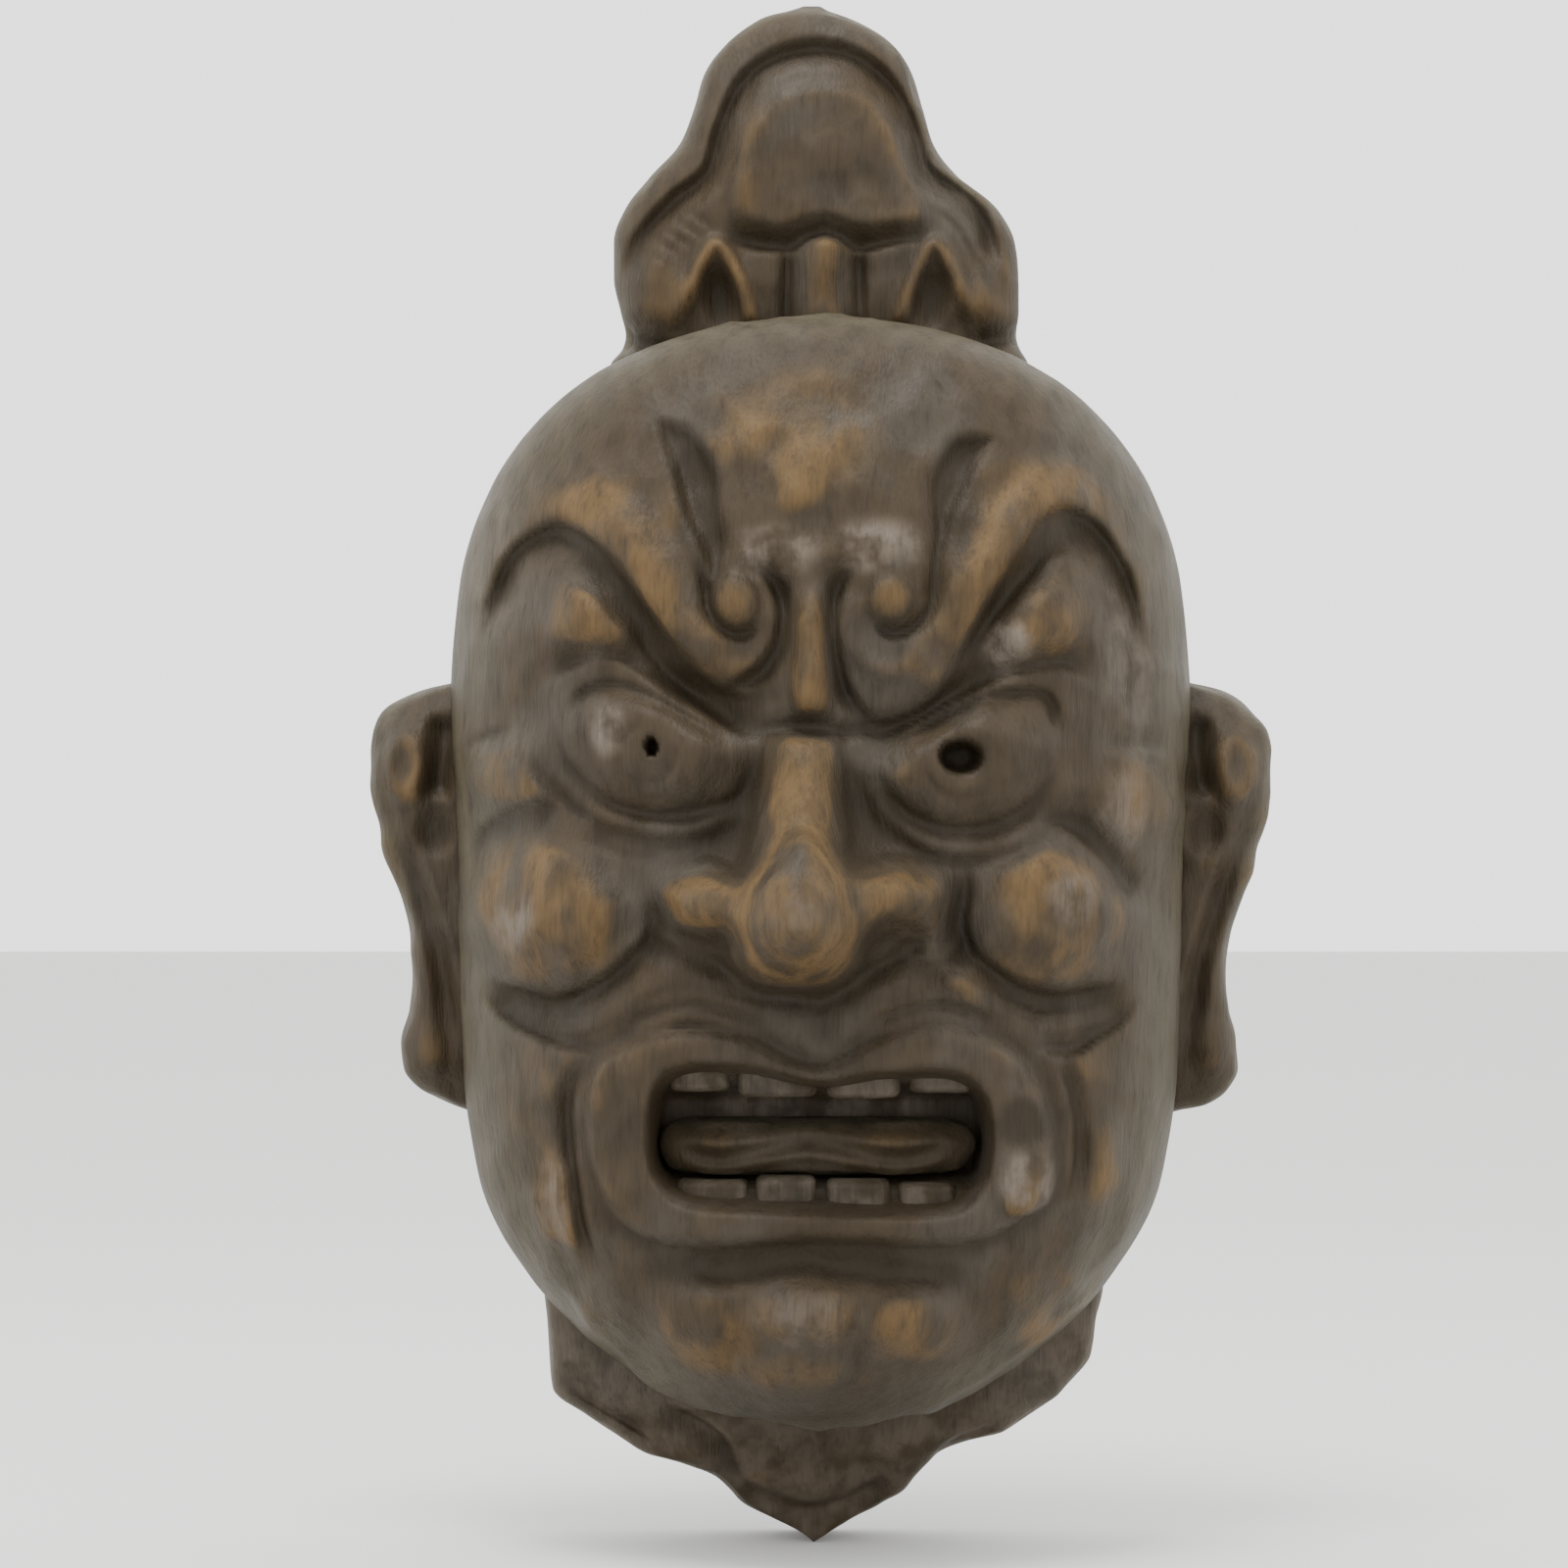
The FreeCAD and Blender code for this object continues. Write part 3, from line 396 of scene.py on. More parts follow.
# The edge of the open mouth and the outer edge of the lips, from the corner at -x clockwise.
MOUTH_EDGE = [
    (-50, -97), (-47, -83), (-37, -77.5), (-20, -78), (0, -82), (17, -79.5), (37, -79.5),
    (46.5, -87), (49, -103), (44, -118), (31, -122.5), (-2, -121.5), (-37, -120), (-48, -111),
]
LIP_EDGE = [
    (-67.5, -96), (-64, -79), (-52, -71), (-36, -68.5), (-20, -71), (-2, -78.5), (15, -71),
    (32, -67), (50, -72), (61, -83), (66, -100), (63, -117), (52, -126), (34, -130),
    (0, -128.5), (-38, -130.5), (-56, -125), (-65, -111),
]

# The nose along its middle, from under its tip up: height, rise and half width.
NOSE_HEIGHTS = [-59, -54, -48, -40, -31, -22, -9, 4, 14]
NOSE_RISES = [0, 24, 36, 40.5, 39, 30, 20, 14, 9]
NOSE_HALVES = [12, 17, 21, 22, 20, 17, 14.5, 12.5, 11]
NOSE_MASS = [
    (-50, -33), (-47, -25), (-36, -20), (-23, -19), (-14, -10), (-6, -6), (3, -10), (11, -17),
    (24, -19), (35, -23), (40, -31), (38, -43), (31, -48), (20, -45), (9, -52), (-5, -56),
    (-18, -53), (-31, -47), (-44, -44),
]
NOSTRILS = [((-37, -43.5), -28), ((24.5, -46), 25)]
# The bored pupils: centre, half width, half height and floor depth.
PUPILS = [((-47.5, 10.0), 2.2, 3.0, 112), ((38.6, 7.2), 6.8, 5.4, 110)]
IRISES = [((-48.5, 8.0), 8.2, 100, 390), ((39.0, 6.0), 10.5, 150, 400)]


# Worn stain, painted highlights and painted shade by place: centre, half width, half height and
# how much.
PLACES = {
    "proud": [
        ((-6, 98), 32, 26, 0.6), ((-55, 76), 28, 16, 0.5), ((62, 82), 24, 16, 0.5),
        ((50, 66), 14, 20, 0.5), ((66, 46), 8, 15, 0.9), ((-84, -30), 20, 22, 0.6),
        ((66, -36), 22, 18, 0.4), ((-32, -158), 15, 14, 0.7), ((66, -150), 26, 18, 0.6),
        ((-76, -116), 9, 22, 0.6), ((-7, -38), 20, 16, 0.5), ((-6, -8), 12, 24, 0.4),
        ((-48, 10), 30, 19, -0.8), ((42, 5), 29, 19, -0.8), ((0, -100), 88, 40, -0.7),
    ],
    # painted highlights: pale patches where facets and the eyeballs catch the light
    "painted_highlight": [
        ((-60, 15), 7, 10, 0.9), ((52, 38), 9, 12, 1.0), ((16, 66), 18, 10, 0.8),
        ((-14, 64), 18, 10, 0.7), ((86, -8), 10, 14, 0.6), ((-88, -38), 9, 12, 0.7),
        ((70, -32), 10, 10, 0.6), ((-4, -150), 22, 10, 0.5), ((-42, 160), 14, 8, 0.6),
        ((-7, -36), 8, 7, 0.4), ((58, -112), 11, 12, 0.9), ((-94, 62), 14, 30, 0.3),
        ((-75, -118), 7, 18, 0.5), ((0, -92), 48, 7, 0.9), ((88, 40), 14, 40, 0.3),
    ],
    # painted shade: under the chin and lower lip, in the pupils, at the mouth's corners, beside
    # the nose and in the brow grooves
    "hollow": [
        ((57, -95), 12, 10, 0.9), ((-4, -178), 60, 16, 0.5), ((0, -131), 50, 9, 0.2),
        ((40, 7), 11, 9, 0.6), ((-46, 9), 8, 8, 0.5), ((-58, -95), 10, 14, 0.5),
        ((22, -10), 14, 12, 0.4), ((-34, -8), 14, 10, 0.4),
        ((-35, 78), 9, 26, 0.8), ((38, 80), 9, 24, 0.8), ((64, -146), 30, 12, 0.25),
    ],
}


def carve_forehead(relief):
    """The low forehead, the frown's ledge above the nose and the bump between the brows."""
    relief.dome((-2, 86), 38, 27, 3.5)
    relief.ball((-6, 84), 9, 14, 2.5, 4, 19)
    frown = [(-26, 64), (-14, 72), (0, 70), (14, 72), (28, 67), (22, 56), (9, 50), (0, 56),
             (-9, 50), (-20, 57)]
    relief.plateau(frown, 2.4, 9)
    relief.ridge([(-2, 62), (-2.5, 44), (-3, 18)], 6.0, 8.5, 0.4, 0.06)
    relief.ball((-3, 27), 8, 12, 2.5, 5, 8)
    relief.ridge([(-17, 70), (-13, 62), (-8, 50)], -2.0, 7, 0.4, 0.3)
    relief.ridge([(17, 70), (11, 62), (4, 50)], -2.0, 7, 0.4, 0.3)


def carve_right_brow(relief):
    """The brow at -x: a band with a flame tip above, ending in a scroll beside the nose."""
    crest = [(-88, 71), (-74, 79), (-62, 76), (-51, 61), (-43, 47), (-35, 37), (-26, 32)]
    relief.ridge(crest, 4.5, 13, 0.4, 0.1)
    wedge = [(-47, 102), (-44, 87), (-40, 74), (-34.5, 62), (-32, 52), (-26, 58), (-24, 66),
             (-26, 76), (-28, 88), (-36, 101)]
    relief.plateau(wedge, -5.0, 5.0)
    around = [(-36, 63), (-33, 55), (-31.7, 48), (-27.7, 42.6), (-22, 41), (-17.5, 44)]
    relief.cut(around, 4.5, 3.0, 2.0, 0.3, 0.1)
    lower = [(-96.5, 38), (-94, 53), (-88, 65), (-76, 72), (-66, 68.5), (-57, 59), (-47, 45),
             (-39, 35), (-29, 25.5), (-19, 24), (-11, 31)]
    relief.cut(lower, 7.0, 2.2, 15, 0.15, 0.15)
    outer = [(-30, 25), (-20.5, 29), (-13.4, 37), (-11.3, 48), (-15, 57), (-24, 61)]
    relief.cut(outer, 5.5, 2.2, 6, 0.2, 0.3)
    relief.dome((-24, 50.5), 8.5, 8.5, 3.5, 0, 2.2)
    relief.cut(arc((-24, 50), 7.5, 0, 100), 1.4, 1.2, 2.0)
    relief.ridge(arc((-24, 44), 12.0, 215, 400), 2.0, 4.5, 0.3, 0.4)


def carve_left_brow(relief):
    """The brow at +x, a little higher and wider than the other."""
    crest = [(92, 66), (82, 77), (68, 83), (56, 73), (46, 59), (38, 45), (30, 33), (22, 27)]
    relief.ridge(crest, 4.5, 13, 0.4, 0.1)
    wedge = [(49.5, 98), (44.5, 87.5), (39.5, 76), (36, 66), (34, 57), (31, 50), (27, 52),
             (28.5, 61), (29, 70), (27.5, 80), (30, 89), (37, 98)]
    relief.plateau(wedge, -5.0, 5.0)
    around = [(35, 63), (33, 55), (30, 47.5), (25.5, 43), (19, 41.5), (14.5, 45)]
    relief.cut(around, 4.5, 2.0, 3.0, 0.3, 0.1)
    lower = [(8, 24), (14, 17), (22, 17), (29.5, 20.5), (35, 28), (41, 38), (47, 49.5), (54, 62),
             (60.5, 72), (67.5, 76.5), (76, 74), (82.5, 66.5), (87.5, 57), (90.5, 45), (94, 33)]
    relief.cut(lower, 7.0, 2.2, 15, 0.12, 0.15)
    outer = [(13, 61), (6, 57), (3, 46), (4.5, 33), (9, 22), (16, 16.5)]
    relief.cut(outer, 5.5, 2.2, 6, 0.3, 0.2)
    relief.dome((19, 51), 8.2, 8.2, 3.5, 0, 2.2)
    relief.cut(arc((19, 50.5), 7.2, 80, 180), 1.4, 1.2, 2.0)
    relief.ridge(arc((19, 43), 11.5, -35, -230), 2.0, 4.5, 0.3, 0.4)


def carve_right_eye(relief):
    """The eye at -x: the mound under the brow, two lids, the ball and the folds below."""
    relief.ball((-64, 46), 18, 14, 5.5, 6, 14, -30)
    relief.cut([(-27, 18), (-43, 31), (-53, 43), (-62, 52), (-73, 58), (-82, 59)],
               3.0, 2.5, 10, 0.2, 0.4)
    upper = [(-14, 13), (-23, 14.5), (-37, 23), (-49, 31), (-61, 36), (-73, 32), (-80, 24)]
    relief.cut(upper, 4.0, 2.0, 8, 0.2, 0.2)
    relief.dome((-46.5, 10), 29, 19, 7.5, -14, 1.5)
    relief.cut([(-21, 9), (-34, 16.5), (-47, 24), (-58, 28), (-67, 26), (-73, 18)],
               3.8, 4.5, 1.5, 0.25, 0.2)
    relief.cut([(-75, 19), (-72, 7), (-64, -2), (-52, -7.5), (-38, -8), (-25, -4), (-18, 4)],
               2.8, 1.6, 5, 0.2, 0.2)
    relief.ridge([(-74, 1), (-65, -7), (-52, -12), (-38, -12.5), (-24, -9)], 1.6, 3.2)
    relief.ridge([(-74, -5), (-62, -13), (-46, -17), (-32, -16.5), (-22, -13)], -1.8, 3.4)
    relief.ridge([(-68, -14), (-54, -20), (-40, -21)], -1.4, 3.2)
    relief.ridge([(-64, 22), (-58, 12), (-58, 0)], -1.0, 4)


def carve_left_eye(relief):
    """The eye at +x, which looks out from under a straighter lid."""
    relief.ball((62, 46), 21, 14, 5.0, 4, 16, 34, 0.6)
    relief.cut([(89, 49), (81, 57), (72, 65), (63, 64), (56, 56), (48, 46), (39, 37), (29, 26),
                (18, 17)], 3.0, 2.5, 10, 0.4, 0.2)
    upper = [(80, 25), (70, 33), (57, 32), (43, 27), (30, 20.5), (17, 14), (8, 13)]
    relief.cut(upper, 4.0, 2.0, 8, 0.2, 0.2)
    relief.dome((41.5, 6), 29, 19, 7.5, 13, 1.5)
    relief.cut([(67, 12), (65.5, 22), (60, 26), (48, 24.5), (38, 21), (29, 16), (18, 9)],
               3.8, 4.5, 1.5, 0.15, 0.25)
    relief.cut([(14, 8), (19, -3), (28, -10), (40, -12.5), (52, -9.5), (62, -1), (67, 10)],
               2.8, 1.6, 5, 0.2, 0.2)
    relief.dome((39.5, 6.5), 11, 9.5, -3.0, 0, 1.4)
    relief.ridge([(20, -11), (30, -17), (42, -18.5), (55, -15), (66, -5)], 1.6, 3.2)
    relief.ridge([(14, -13), (28, -20), (44, -22), (58, -18), (69, -8)], -1.8, 3.4)


def carve_nose(relief):
    """The bridge and tip, joined smoothly to the wings, with the nostrils and the creases."""
    rise = flow(NOSE_HEIGHTS, NOSE_RISES, relief.z)
    middle = 0.035 * relief.z - 5.8
    across = np.clip(np.abs(relief.x - middle) / flow(NOSE_HEIGHTS, NOSE_HALVES, relief.z), 0, 1)
    bridge = rise * (1 - across**2.6) ** 1.3 * ease((15.5 - relief.z) / 3.5)
    wings = Relief(relief.x, relief.z)
    wings.plateau(NOSE_MASS, 18.0, 12)
    slant = 1.65 - np.abs(relief.x - middle) / 36
    relief.h += (bridge**3 + (wings.h * slant) ** 3) ** (1 / 3)
    relief.plateau([(-15, -33), (-7, -29), (2, -33), (1, -41), (-7, -44), (-14, -41)], 0.8, 3.0)
    for centre, tilt in NOSTRILS:
        relief.dome(centre, 8.5, 4.0, -4, tilt)
    relief.ridge([(-38, -23), (-32, -20), (-25, -22), (-21, -28)], -1.6, 2.6)
    under = [(-52, -34), (-47, -44), (-32, -49), (-18, -56), (-4, -59), (8, -55.5), (20, -49),
             (31, -51.5), (40, -46), (42, -34)]
    relief.cut(under, 3.5, 2.4, 7, 0.15, 0.15)
    relief.cut([(20, 15), (8, 13.5), (-2, 13), (-14, 13.5), (-24, 15)], 4.0, 2.0, 6, 0.3, 0.3)
    relief.ridge([(-19, 8), (-21, -4), (-26, -14), (-38, -17)], -2.6, 7)
    relief.ridge([(9, 8), (10, -4), (15, -14), (28, -17)], -2.6, 7)


def carve_right_cheek(relief):
    """The cheek at -x: a faceted ball between folds, and the band that runs to the nose."""
    relief.ball((-77, -37), 28, 26, 11.0, 6, 21, 0, 1.0)
    relief.ball((-88, 2), 16, 15, 5.0, 4, 3, -30)
    relief.cut([(-62, -11), (-71, -7), (-79, 0), (-84, 6), (-89, 12)], 3.2, 1.8, 8, 0.2, 0.4)
    relief.cut([(-103, 9), (-97, 13), (-86, 16)], 2.5, 1.8, 7, 0.4, 0.4)
    relief.cut([(-104, -25), (-99, -16), (-90, -9), (-78, -6.5), (-64, -12)],
               3.0, 1.8, 7, 0.25, 0.4)
    fold = [(-99, -56), (-85, -59.5), (-74, -61.5), (-63, -57), (-52, -48), (-47.5, -40),
            (-51, -26)]
    relief.cut(fold, 7.5, 2.6, 11, 0.2, 0.35)
    relief.dome((-56, -56), 20, 11, 4.5, 45)
    relief.cut([(-60, -76), (-73, -74), (-84, -70), (-93, -65), (-98, -59)],
               5.5, 1.8, 12, 0.2, 0.25)
    for lift in (0, 3.2, 6.4):
        strand = [(-92, -61 - lift), (-78, -65 - lift), (-64, -64 - lift), (-48, -53 - lift)]
        relief.ridge(strand, -1.0, 1.6)


def carve_left_cheek(relief):
    """The cheek at +x: a wider ball with a crease above it that runs out towards the ear."""
    relief.ball((65, -37), 29, 27, 11.0, 6, 12, 0, 1.0)
    relief.ball((90, -4), 17, 18, 4.5, 4, 6, 20)
    relief.cut([(89, -35), (82, -24), (75, -17), (66, -11), (50, -9)], 4.5, 1.8, 8, 0.15, 0.5)
    relief.cut([(103, 8), (94, 10), (84, 10), (76, 8)], 2.5, 1.8, 7, 0.4, 0.4)
    relief.ridge(arc((89, -4), 11, 85, -5), -1.5, 2.8)
    fold = [(37, -17), (41, -30), (39.5, -40), (44, -49), (55, -57), (67, -60), (90, -57)]
    relief.cut(fold, 7.5, 2.6, 11, 0.35, 0.2)
    relief.dome((44, -57), 20, 11, 4.5, -40)
    relief.cut([(90, -60), (86, -67), (79, -71.5), (70, -76), (58, -74)],
               5.5, 1.8, 12, 0.25, 0.2)
    for lift in (0, 3.2, 6.4):
        strand = [(87, -60 - lift), (72, -64 - lift), (58, -63 - lift), (40, -53 - lift)]
        relief.ridge(strand, -1.0, 1.6)


def carve_mouth(relief):
    """The lips with their folds above, the ridges beside them and the chin below."""
    relief.plateau(LIP_EDGE, 3.2, 3.5)
    relief.rim(LIP_EDGE, 2.6, 1.5, 7)
    relief.plateau([(50, -103), (65, -101), (67, -111), (63, -120), (51, -121)], 2.4, 1.8,
                   (0.03, -0.15))
    for side, middle in ((-1, -4), (1, 0)):
        near, far = middle + side * 8, middle + side * 55
        centre = (near + far) / 2
        relief.ridge([(far, -69), (centre, -62), (near, -69)], -2.4, 2.8, 0.3, 0.3)
        relief.ridge([(far, -72), (centre, -65.5), (near, -72.5)], 1.8, 3.6, 0.3, 0.3)
        relief.ridge([(far, -64), (centre, -57.5), (near, -62)], -1.2, 2.2, 0.3, 0.3)
    relief.ridge([(-1, -58), (0, -68), (0, -76)], -3.0, 7, 0.3, 0.3)
    relief.ridge([(-73, -104), (-73.5, -116), (-71, -128), (-67, -138)], 4.5, 4.5, 0.25, 0.3)
    relief.cut([(-62, -141), (-67, -127), (-70, -110), (-71, -90), (-66, -76)],
               5.0, 5.5, 1.8, 0.3, 0.2)
    relief.ridge([(-80, -112), (-80, -122), (-75, -133)], 2.5, 5.5, 0.3, 0.3)
    relief.cut([(66, -76), (71, -90), (72, -106), (69, -122)], 4.0, 5.5, 1.8, 0.2, 0.3)
    relief.ridge([(78, -84), (81, -102), (78, -122), (70, -138)], 1.8, 7, 0.3, 0.3)
    relief.ridge([(-56, -133), (-38, -137), (-2, -136), (34, -137), (51, -132)],
                 -3.8, 7, 0.25, 0.25)
    relief.dome((-3, -158), 52, 25, 8.0, 0, 1.3)
    relief.ball((-37, -149), 18, 15, 4.0, 5, 31)
    relief.ball((28, -151), 18, 15, 4.0, 5, 32)
    relief.ball((-4, -146), 18, 14, 3.5, 4, 35)
    relief.ball((-4, -170), 26, 14, 2.5, 5, 36)
    relief.ridge([(-29, -143), (-25, -154), (-27, -166)], -1.8, 5)
    relief.ridge([(14, -143), (10, -156), (12, -168)], -1.8, 5)
    for k, centre in enumerate(((-70, -86), (-85, -92), (78, -109), (-60, -152), (56, -150))):
        relief.ball(centre, 13, 16, 1.8, 5, 41 + k)


def carve_edges(relief):
    """The flat along the jaw's edge and the row of short chisel marks on the cheek at -x."""
    relief.ridge([(-80, -136), (-70, -147), (-57, -163), (-45, -176), (-30, -182)], 1.2, 2.8)
    relief.ridge([(83, -143), (70, -153), (56, -163), (40, -173), (22, -181)], 1.2, 2.8)
    for k in range(9):
        z = -76 - 3.4 * k
        relief.ridge([(-96, z + 1), (-91, z), (-86, z - 1.5)], -0.7, 1.7)


def ellipse(centre, half_x, half_z):
    """Points round an ellipse."""
    return [
        (centre[0] + half_x * c, centre[1] + half_z * s) for c, s in arc((0, 0), 1, 0, 315, 8)
    ]


def sink(points, front, line, floor, wall):
    """Lowers the front points within a closed line to a floor depth, behind a steep wall."""
    p = np.asarray(line, float)
    low, high = p.min(0) - 1, p.max(0) + 1
    x, z = points[..., 0], points[..., 2]
    near = (x > low[0]) & (x < high[0]) & (z > low[1]) & (z < high[1])
    i = np.nonzero(near & front & (points[..., 1] < -floor))
    edge = bend(line, closed=True)
    distance, _, _ = nearest(x[i], z[i], edge)
    share = np.where(inside(x[i], z[i], edge), ease(distance / wall), 0)
    points[i[0], i[1], 1] += (-floor - points[i[0], i[1], 1]) * share
    return i, share


def show_wear(shell, marks):
    """Adds wear on the tallest parts, and wear, painted highlights and painted shade at the
    listed places, to the marks.
    """
    marks["proud"] = np.maximum(marks["proud"], np.clip((shell.h - 13) / 18, 0, 0.75))
    marks["painted_highlight"] = np.zeros(shell.x.shape)
    for name, places in PLACES.items():
        for centre, half_x, half_z, amount in places:
            away = np.hypot((shell.x - centre[0]) / half_x, (shell.z - centre[1]) / half_z)
            marks[name] += amount * shell.front * (1 - ease((away - 0.4) / 0.6))
        marks[name] = np.clip(marks[name], 0, 1)


def make_head():
    """The face block: carved in front, hollowed behind, with a rebate for the batten."""
    sections = [(z, -half, half, front, 2 * middle - front) for z, half, front, middle in HEAD]
    shell = Shell(sections, 290, 236, 22, fine=(-135, 106))
    relief = shell.relief
    for carve in (carve_forehead, carve_right_brow, carve_left_brow, carve_right_eye,
                  carve_left_eye, carve_right_cheek, carve_left_cheek, carve_nose, carve_mouth,
                  carve_edges):
        carve(relief)
    for centre, radius, start, end in IRISES:
        relief.ridge(arc(centre, radius, start, end), -1.4, 1.6, 0.1, 0.1)
    relief.chips(11.0, 1.5, 2)
    relief.chips(5.0, 0.4, 3, stretch=1.8)
    relief.h += 0.4 * ripple(relief.x, relief.z, 22, 5)
    points = shell.raised()
    marks = shell.marks(1.0)
    front = shell.front > 0.5
    hollows = [(MOUTH_EDGE, MOUTH_FLOOR, 5.5)]
    hollows += [(ellipse(centre, half_x, half_z), floor, 0.5 * half_z)
                for centre, half_x, half_z, floor in PUPILS]
    for line, floor, wall in hollows:
        i, share = sink(points, front, line, floor, wall)
        # painted shade inside the open mouth and the bored pupils
        marks["hollow"][i] = np.maximum(marks["hollow"][i], 0.25 * share)
        if line is MOUTH_EDGE:
            above, below = GUM_HEIGHTS
            gums = ease((shell.z[i] - above) / 6) + ease((below - shell.z[i]) / 6)
            points[i[0], i[1], 1] -= GUM_RISE * gums * share
    show_wear(shell, marks)
    head = grid_piece("face_carving", points, marks)
    hollow_out(head)
    return head


def box_cutter(name, low, high):
    """A plain box, used only to cut with."""
    corners = [(x, y, z) for x in (low[0], high[0]) for y in (low[1], high[1])
               for z in (low[2], high[2])]
    faces = [(0, 1, 3, 2), (4, 6, 7, 5), (0, 4, 5, 1), (2, 3, 7, 6), (0, 2, 6, 4), (1, 5, 7, 3)]
    mesh = bpy.data.meshes.new(name)
    mesh.from_pydata(corners, [], faces)
    return new_piece(name, mesh)


def subtract(piece, cutters):
    """Cuts the cutters out of the piece and removes them."""
    for cutter in cutters:
        modifier = piece.modifiers.new("cut", "BOOLEAN")
        modifier.operation = "DIFFERENCE"
        modifier.solver = "MANIFOLD"
        modifier.object = cutter
        graph = bpy.context.evaluated_depsgraph_get()
        result = bpy.data.meshes.new_from_object(piece.evaluated_get(graph))
        piece.modifiers.clear()
        piece.data = result
        bpy.data.objects.remove(cutter)


def hollow_out(head):
    """Cuts the wall plane, the gouged bowl and the batten's rebate from the head."""
    low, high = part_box("batten")
    gap = Vector((0.0001, 0.0001, 0.0001))
    rebate = box_cutter("rebate", low - gap, (high.x + gap.x, 0.05, high.z + gap.z))
    wall = box_cutter("wall", (-0.3, 0.0, -0.4), (0.3, 0.3, 0.4))
    sections = [(z, -half, half, depth, -depth) for z, half, depth in HOLLOW]
    shell = Shell(sections, 80, 80, 20)
    shell.relief.chips(13.0, 1.6, 12)
    bowl = grid_piece("bowl", shell.raised())
    subtract(head, [wall, bowl, rebate])


# The blocks joined to the face block

# The bun: height, both edges, front and back depth, from its foot up.
TOPKNOT = [
    (114, -56, 57, 56, 14), (117, -60.5, 60.5, 58, 13), (122, -61.5, 61, 59, 12),
    (127, -58, 58.5, 59, 12), (131, -57, 57.5, 59, 12), (138, -58.5, 58, 59.5, 12),
    (148, -60.5, 58, 59.5, 13), (158, -60.5, 57, 59.5, 14), (167, -57.5, 52.5, 59, 15),
    (177, -50, 40.5, 59, 16), (187, -41, 33, 59, 17), (197, -37, 30, 58.5, 18),
    (207, -34, 27, 58, 19), (217, -26, 19.5, 56, 22), (223, -17, 10, 52, 27),
    (226.5, -6, 1, 44, 33),
]

# Each ear's outer edge, from the lobe up, at EAR_HEIGHTS, and both ears' front and back depths.
EAR_EDGES = {
    "left": [104, 114, 120, 123, 122.2, 119.8, 119.2, 120.5, 124, 127, 130, 131, 130.5, 126, 119,
             109, 100],
    "right": [102, 110, 117, 122.5, 123.3, 120.7, 119.8, 120.5, 123, 126, 128.5, 130.5, 130.5,
              127, 118, 108, 100],
}
EAR_HEIGHTS = [-97, -94, -90, -84, -76, -66, -56, -45, -33, -20, -8, 3, 14, 22, 27, 29.5, 31]
EAR_FRONTS = [32, 36, 39, 42, 44, 46, 48, 49.5, 51, 52.5, 53.5, 54, 52, 48, 44, 40, 34]
EAR_BACKS = [24, 21, 19, 17, 15, 14, 13, 11, 9.5, 8.5, 8, 8, 9, 11, 14, 17, 22]
EAR_ROOT = 96

# The collar: height, both edges, front and back depth, from its tip up.
COLLAR = [
    (-223, -2.4, -1.4, 34, 4), (-221, -5.5, 2.5, 35, 3), (-217, -13.5, 8.5, 37, 2),
    (-212, -23, 18, 39, 1), (-208, -26.5, 24.5, 41, 0.5), (-203.5, -31.5, 28, 43, 0.2),
    (-199.5, -41.5, 31.5, 44.5, 0.2), (-197, -50.5, 34.5, 45.5, 0.2),
    (-193.5, -56, 43, 46.5, 0.2), (-191, -60, 52, 47.5, 0.2), (-185, -69, 62, 49, 0.2),
    (-177, -78.5, 71.5, 51, 0.2), (-167, -79.5, 79.5, 52.5, 0.2), (-157, -80, 80.5, 53.5, 0.2),
    (-147, -81, 83, 53.5, 0.2), (-143, -80, 82, 52, 1),
]


def make_topknot():
    """The hair bun: a rolled rim round a smooth plate, tied at its foot."""
    shell = Shell(TOPKNOT, 125, 150, 50, roundness=3.4)
    relief = shell.relief
    rim = [(-58, 142), (-53, 157), (-43, 169), (-33, 177), (-29, 190), (-23, 203), (-13, 211),
           (0, 213.5), (12, 210), (21, 202), (27, 190), (31, 178), (41, 171), (48, 162),
           (51, 150), (53, 138)]
    relief.cut(rim, 5.0, 3.0, 8, 0.12, 0.12)
    relief.plateau([(-26, 161), (-28, 176), (-23, 192), (-13, 202), (1, 205), (14, 202),
                    (23, 192), (30, 176), (32, 161), (14, 157), (1, 160), (-12, 157)], 3.0, 6)
    relief.cut([(36, 158), (22, 157), (11, 155), (1, 159), (-9, 155), (-22, 156), (-34, 159)],
               4.0, 1.8, 7)
    relief.ridge([(0.5, 159), (0.5, 130)], 5.0, 9, 0.1, 0.1)
    for x, wide in ((-9.5, 3.0), (11, 3.0)):
        relief.ridge([(x, 156), (x + 0.06 * x, 130)], -3.5, wide, 0.2, 0.1)
    for side, middle in ((-1, 0), (1, 3)):
        arch = [(39, 134), (37, 144), (33, 153), (29.5, 156), (26, 151), (22, 141), (19, 130)]
        relief.ridge([(middle + side * x, z) for x, z in arch], 3.6, 3.6, 0.2, 0.1)
        relief.dome((middle + side * 29, 140), 6.5, 12, -4.5, -side * 8, 1.4)
        relief.ball((middle + side * 47, 142), 12, 16, 3.0, 4, 51)
    relief.ridge([(-60, 131), (-50, 127), (-38, 124)], -4.0, 4, 0.05, 0.4)
    relief.ridge([(61, 131), (51, 129), (40, 126)], -4.0, 4, 0.05, 0.4)
    for k in range(5):
        relief.ridge([(34 + 3 * k, 166 - 3.4 * k), (43 + 2 * k, 158 - 4.5 * k)], -1.0, 1.6)
        relief.ridge([(-52 + 3 * k, 155 + 3 * k), (-45 + 4 * k, 151 + 2 * k)], -1.0, 1.6)
    relief.chips(8.0, 0.7, 61)
    relief.h += 0.5 * ripple(relief.x, relief.z, 18, 62)
    return grid_piece("topknot_carving", shell.raised(), shell.marks(0.9))


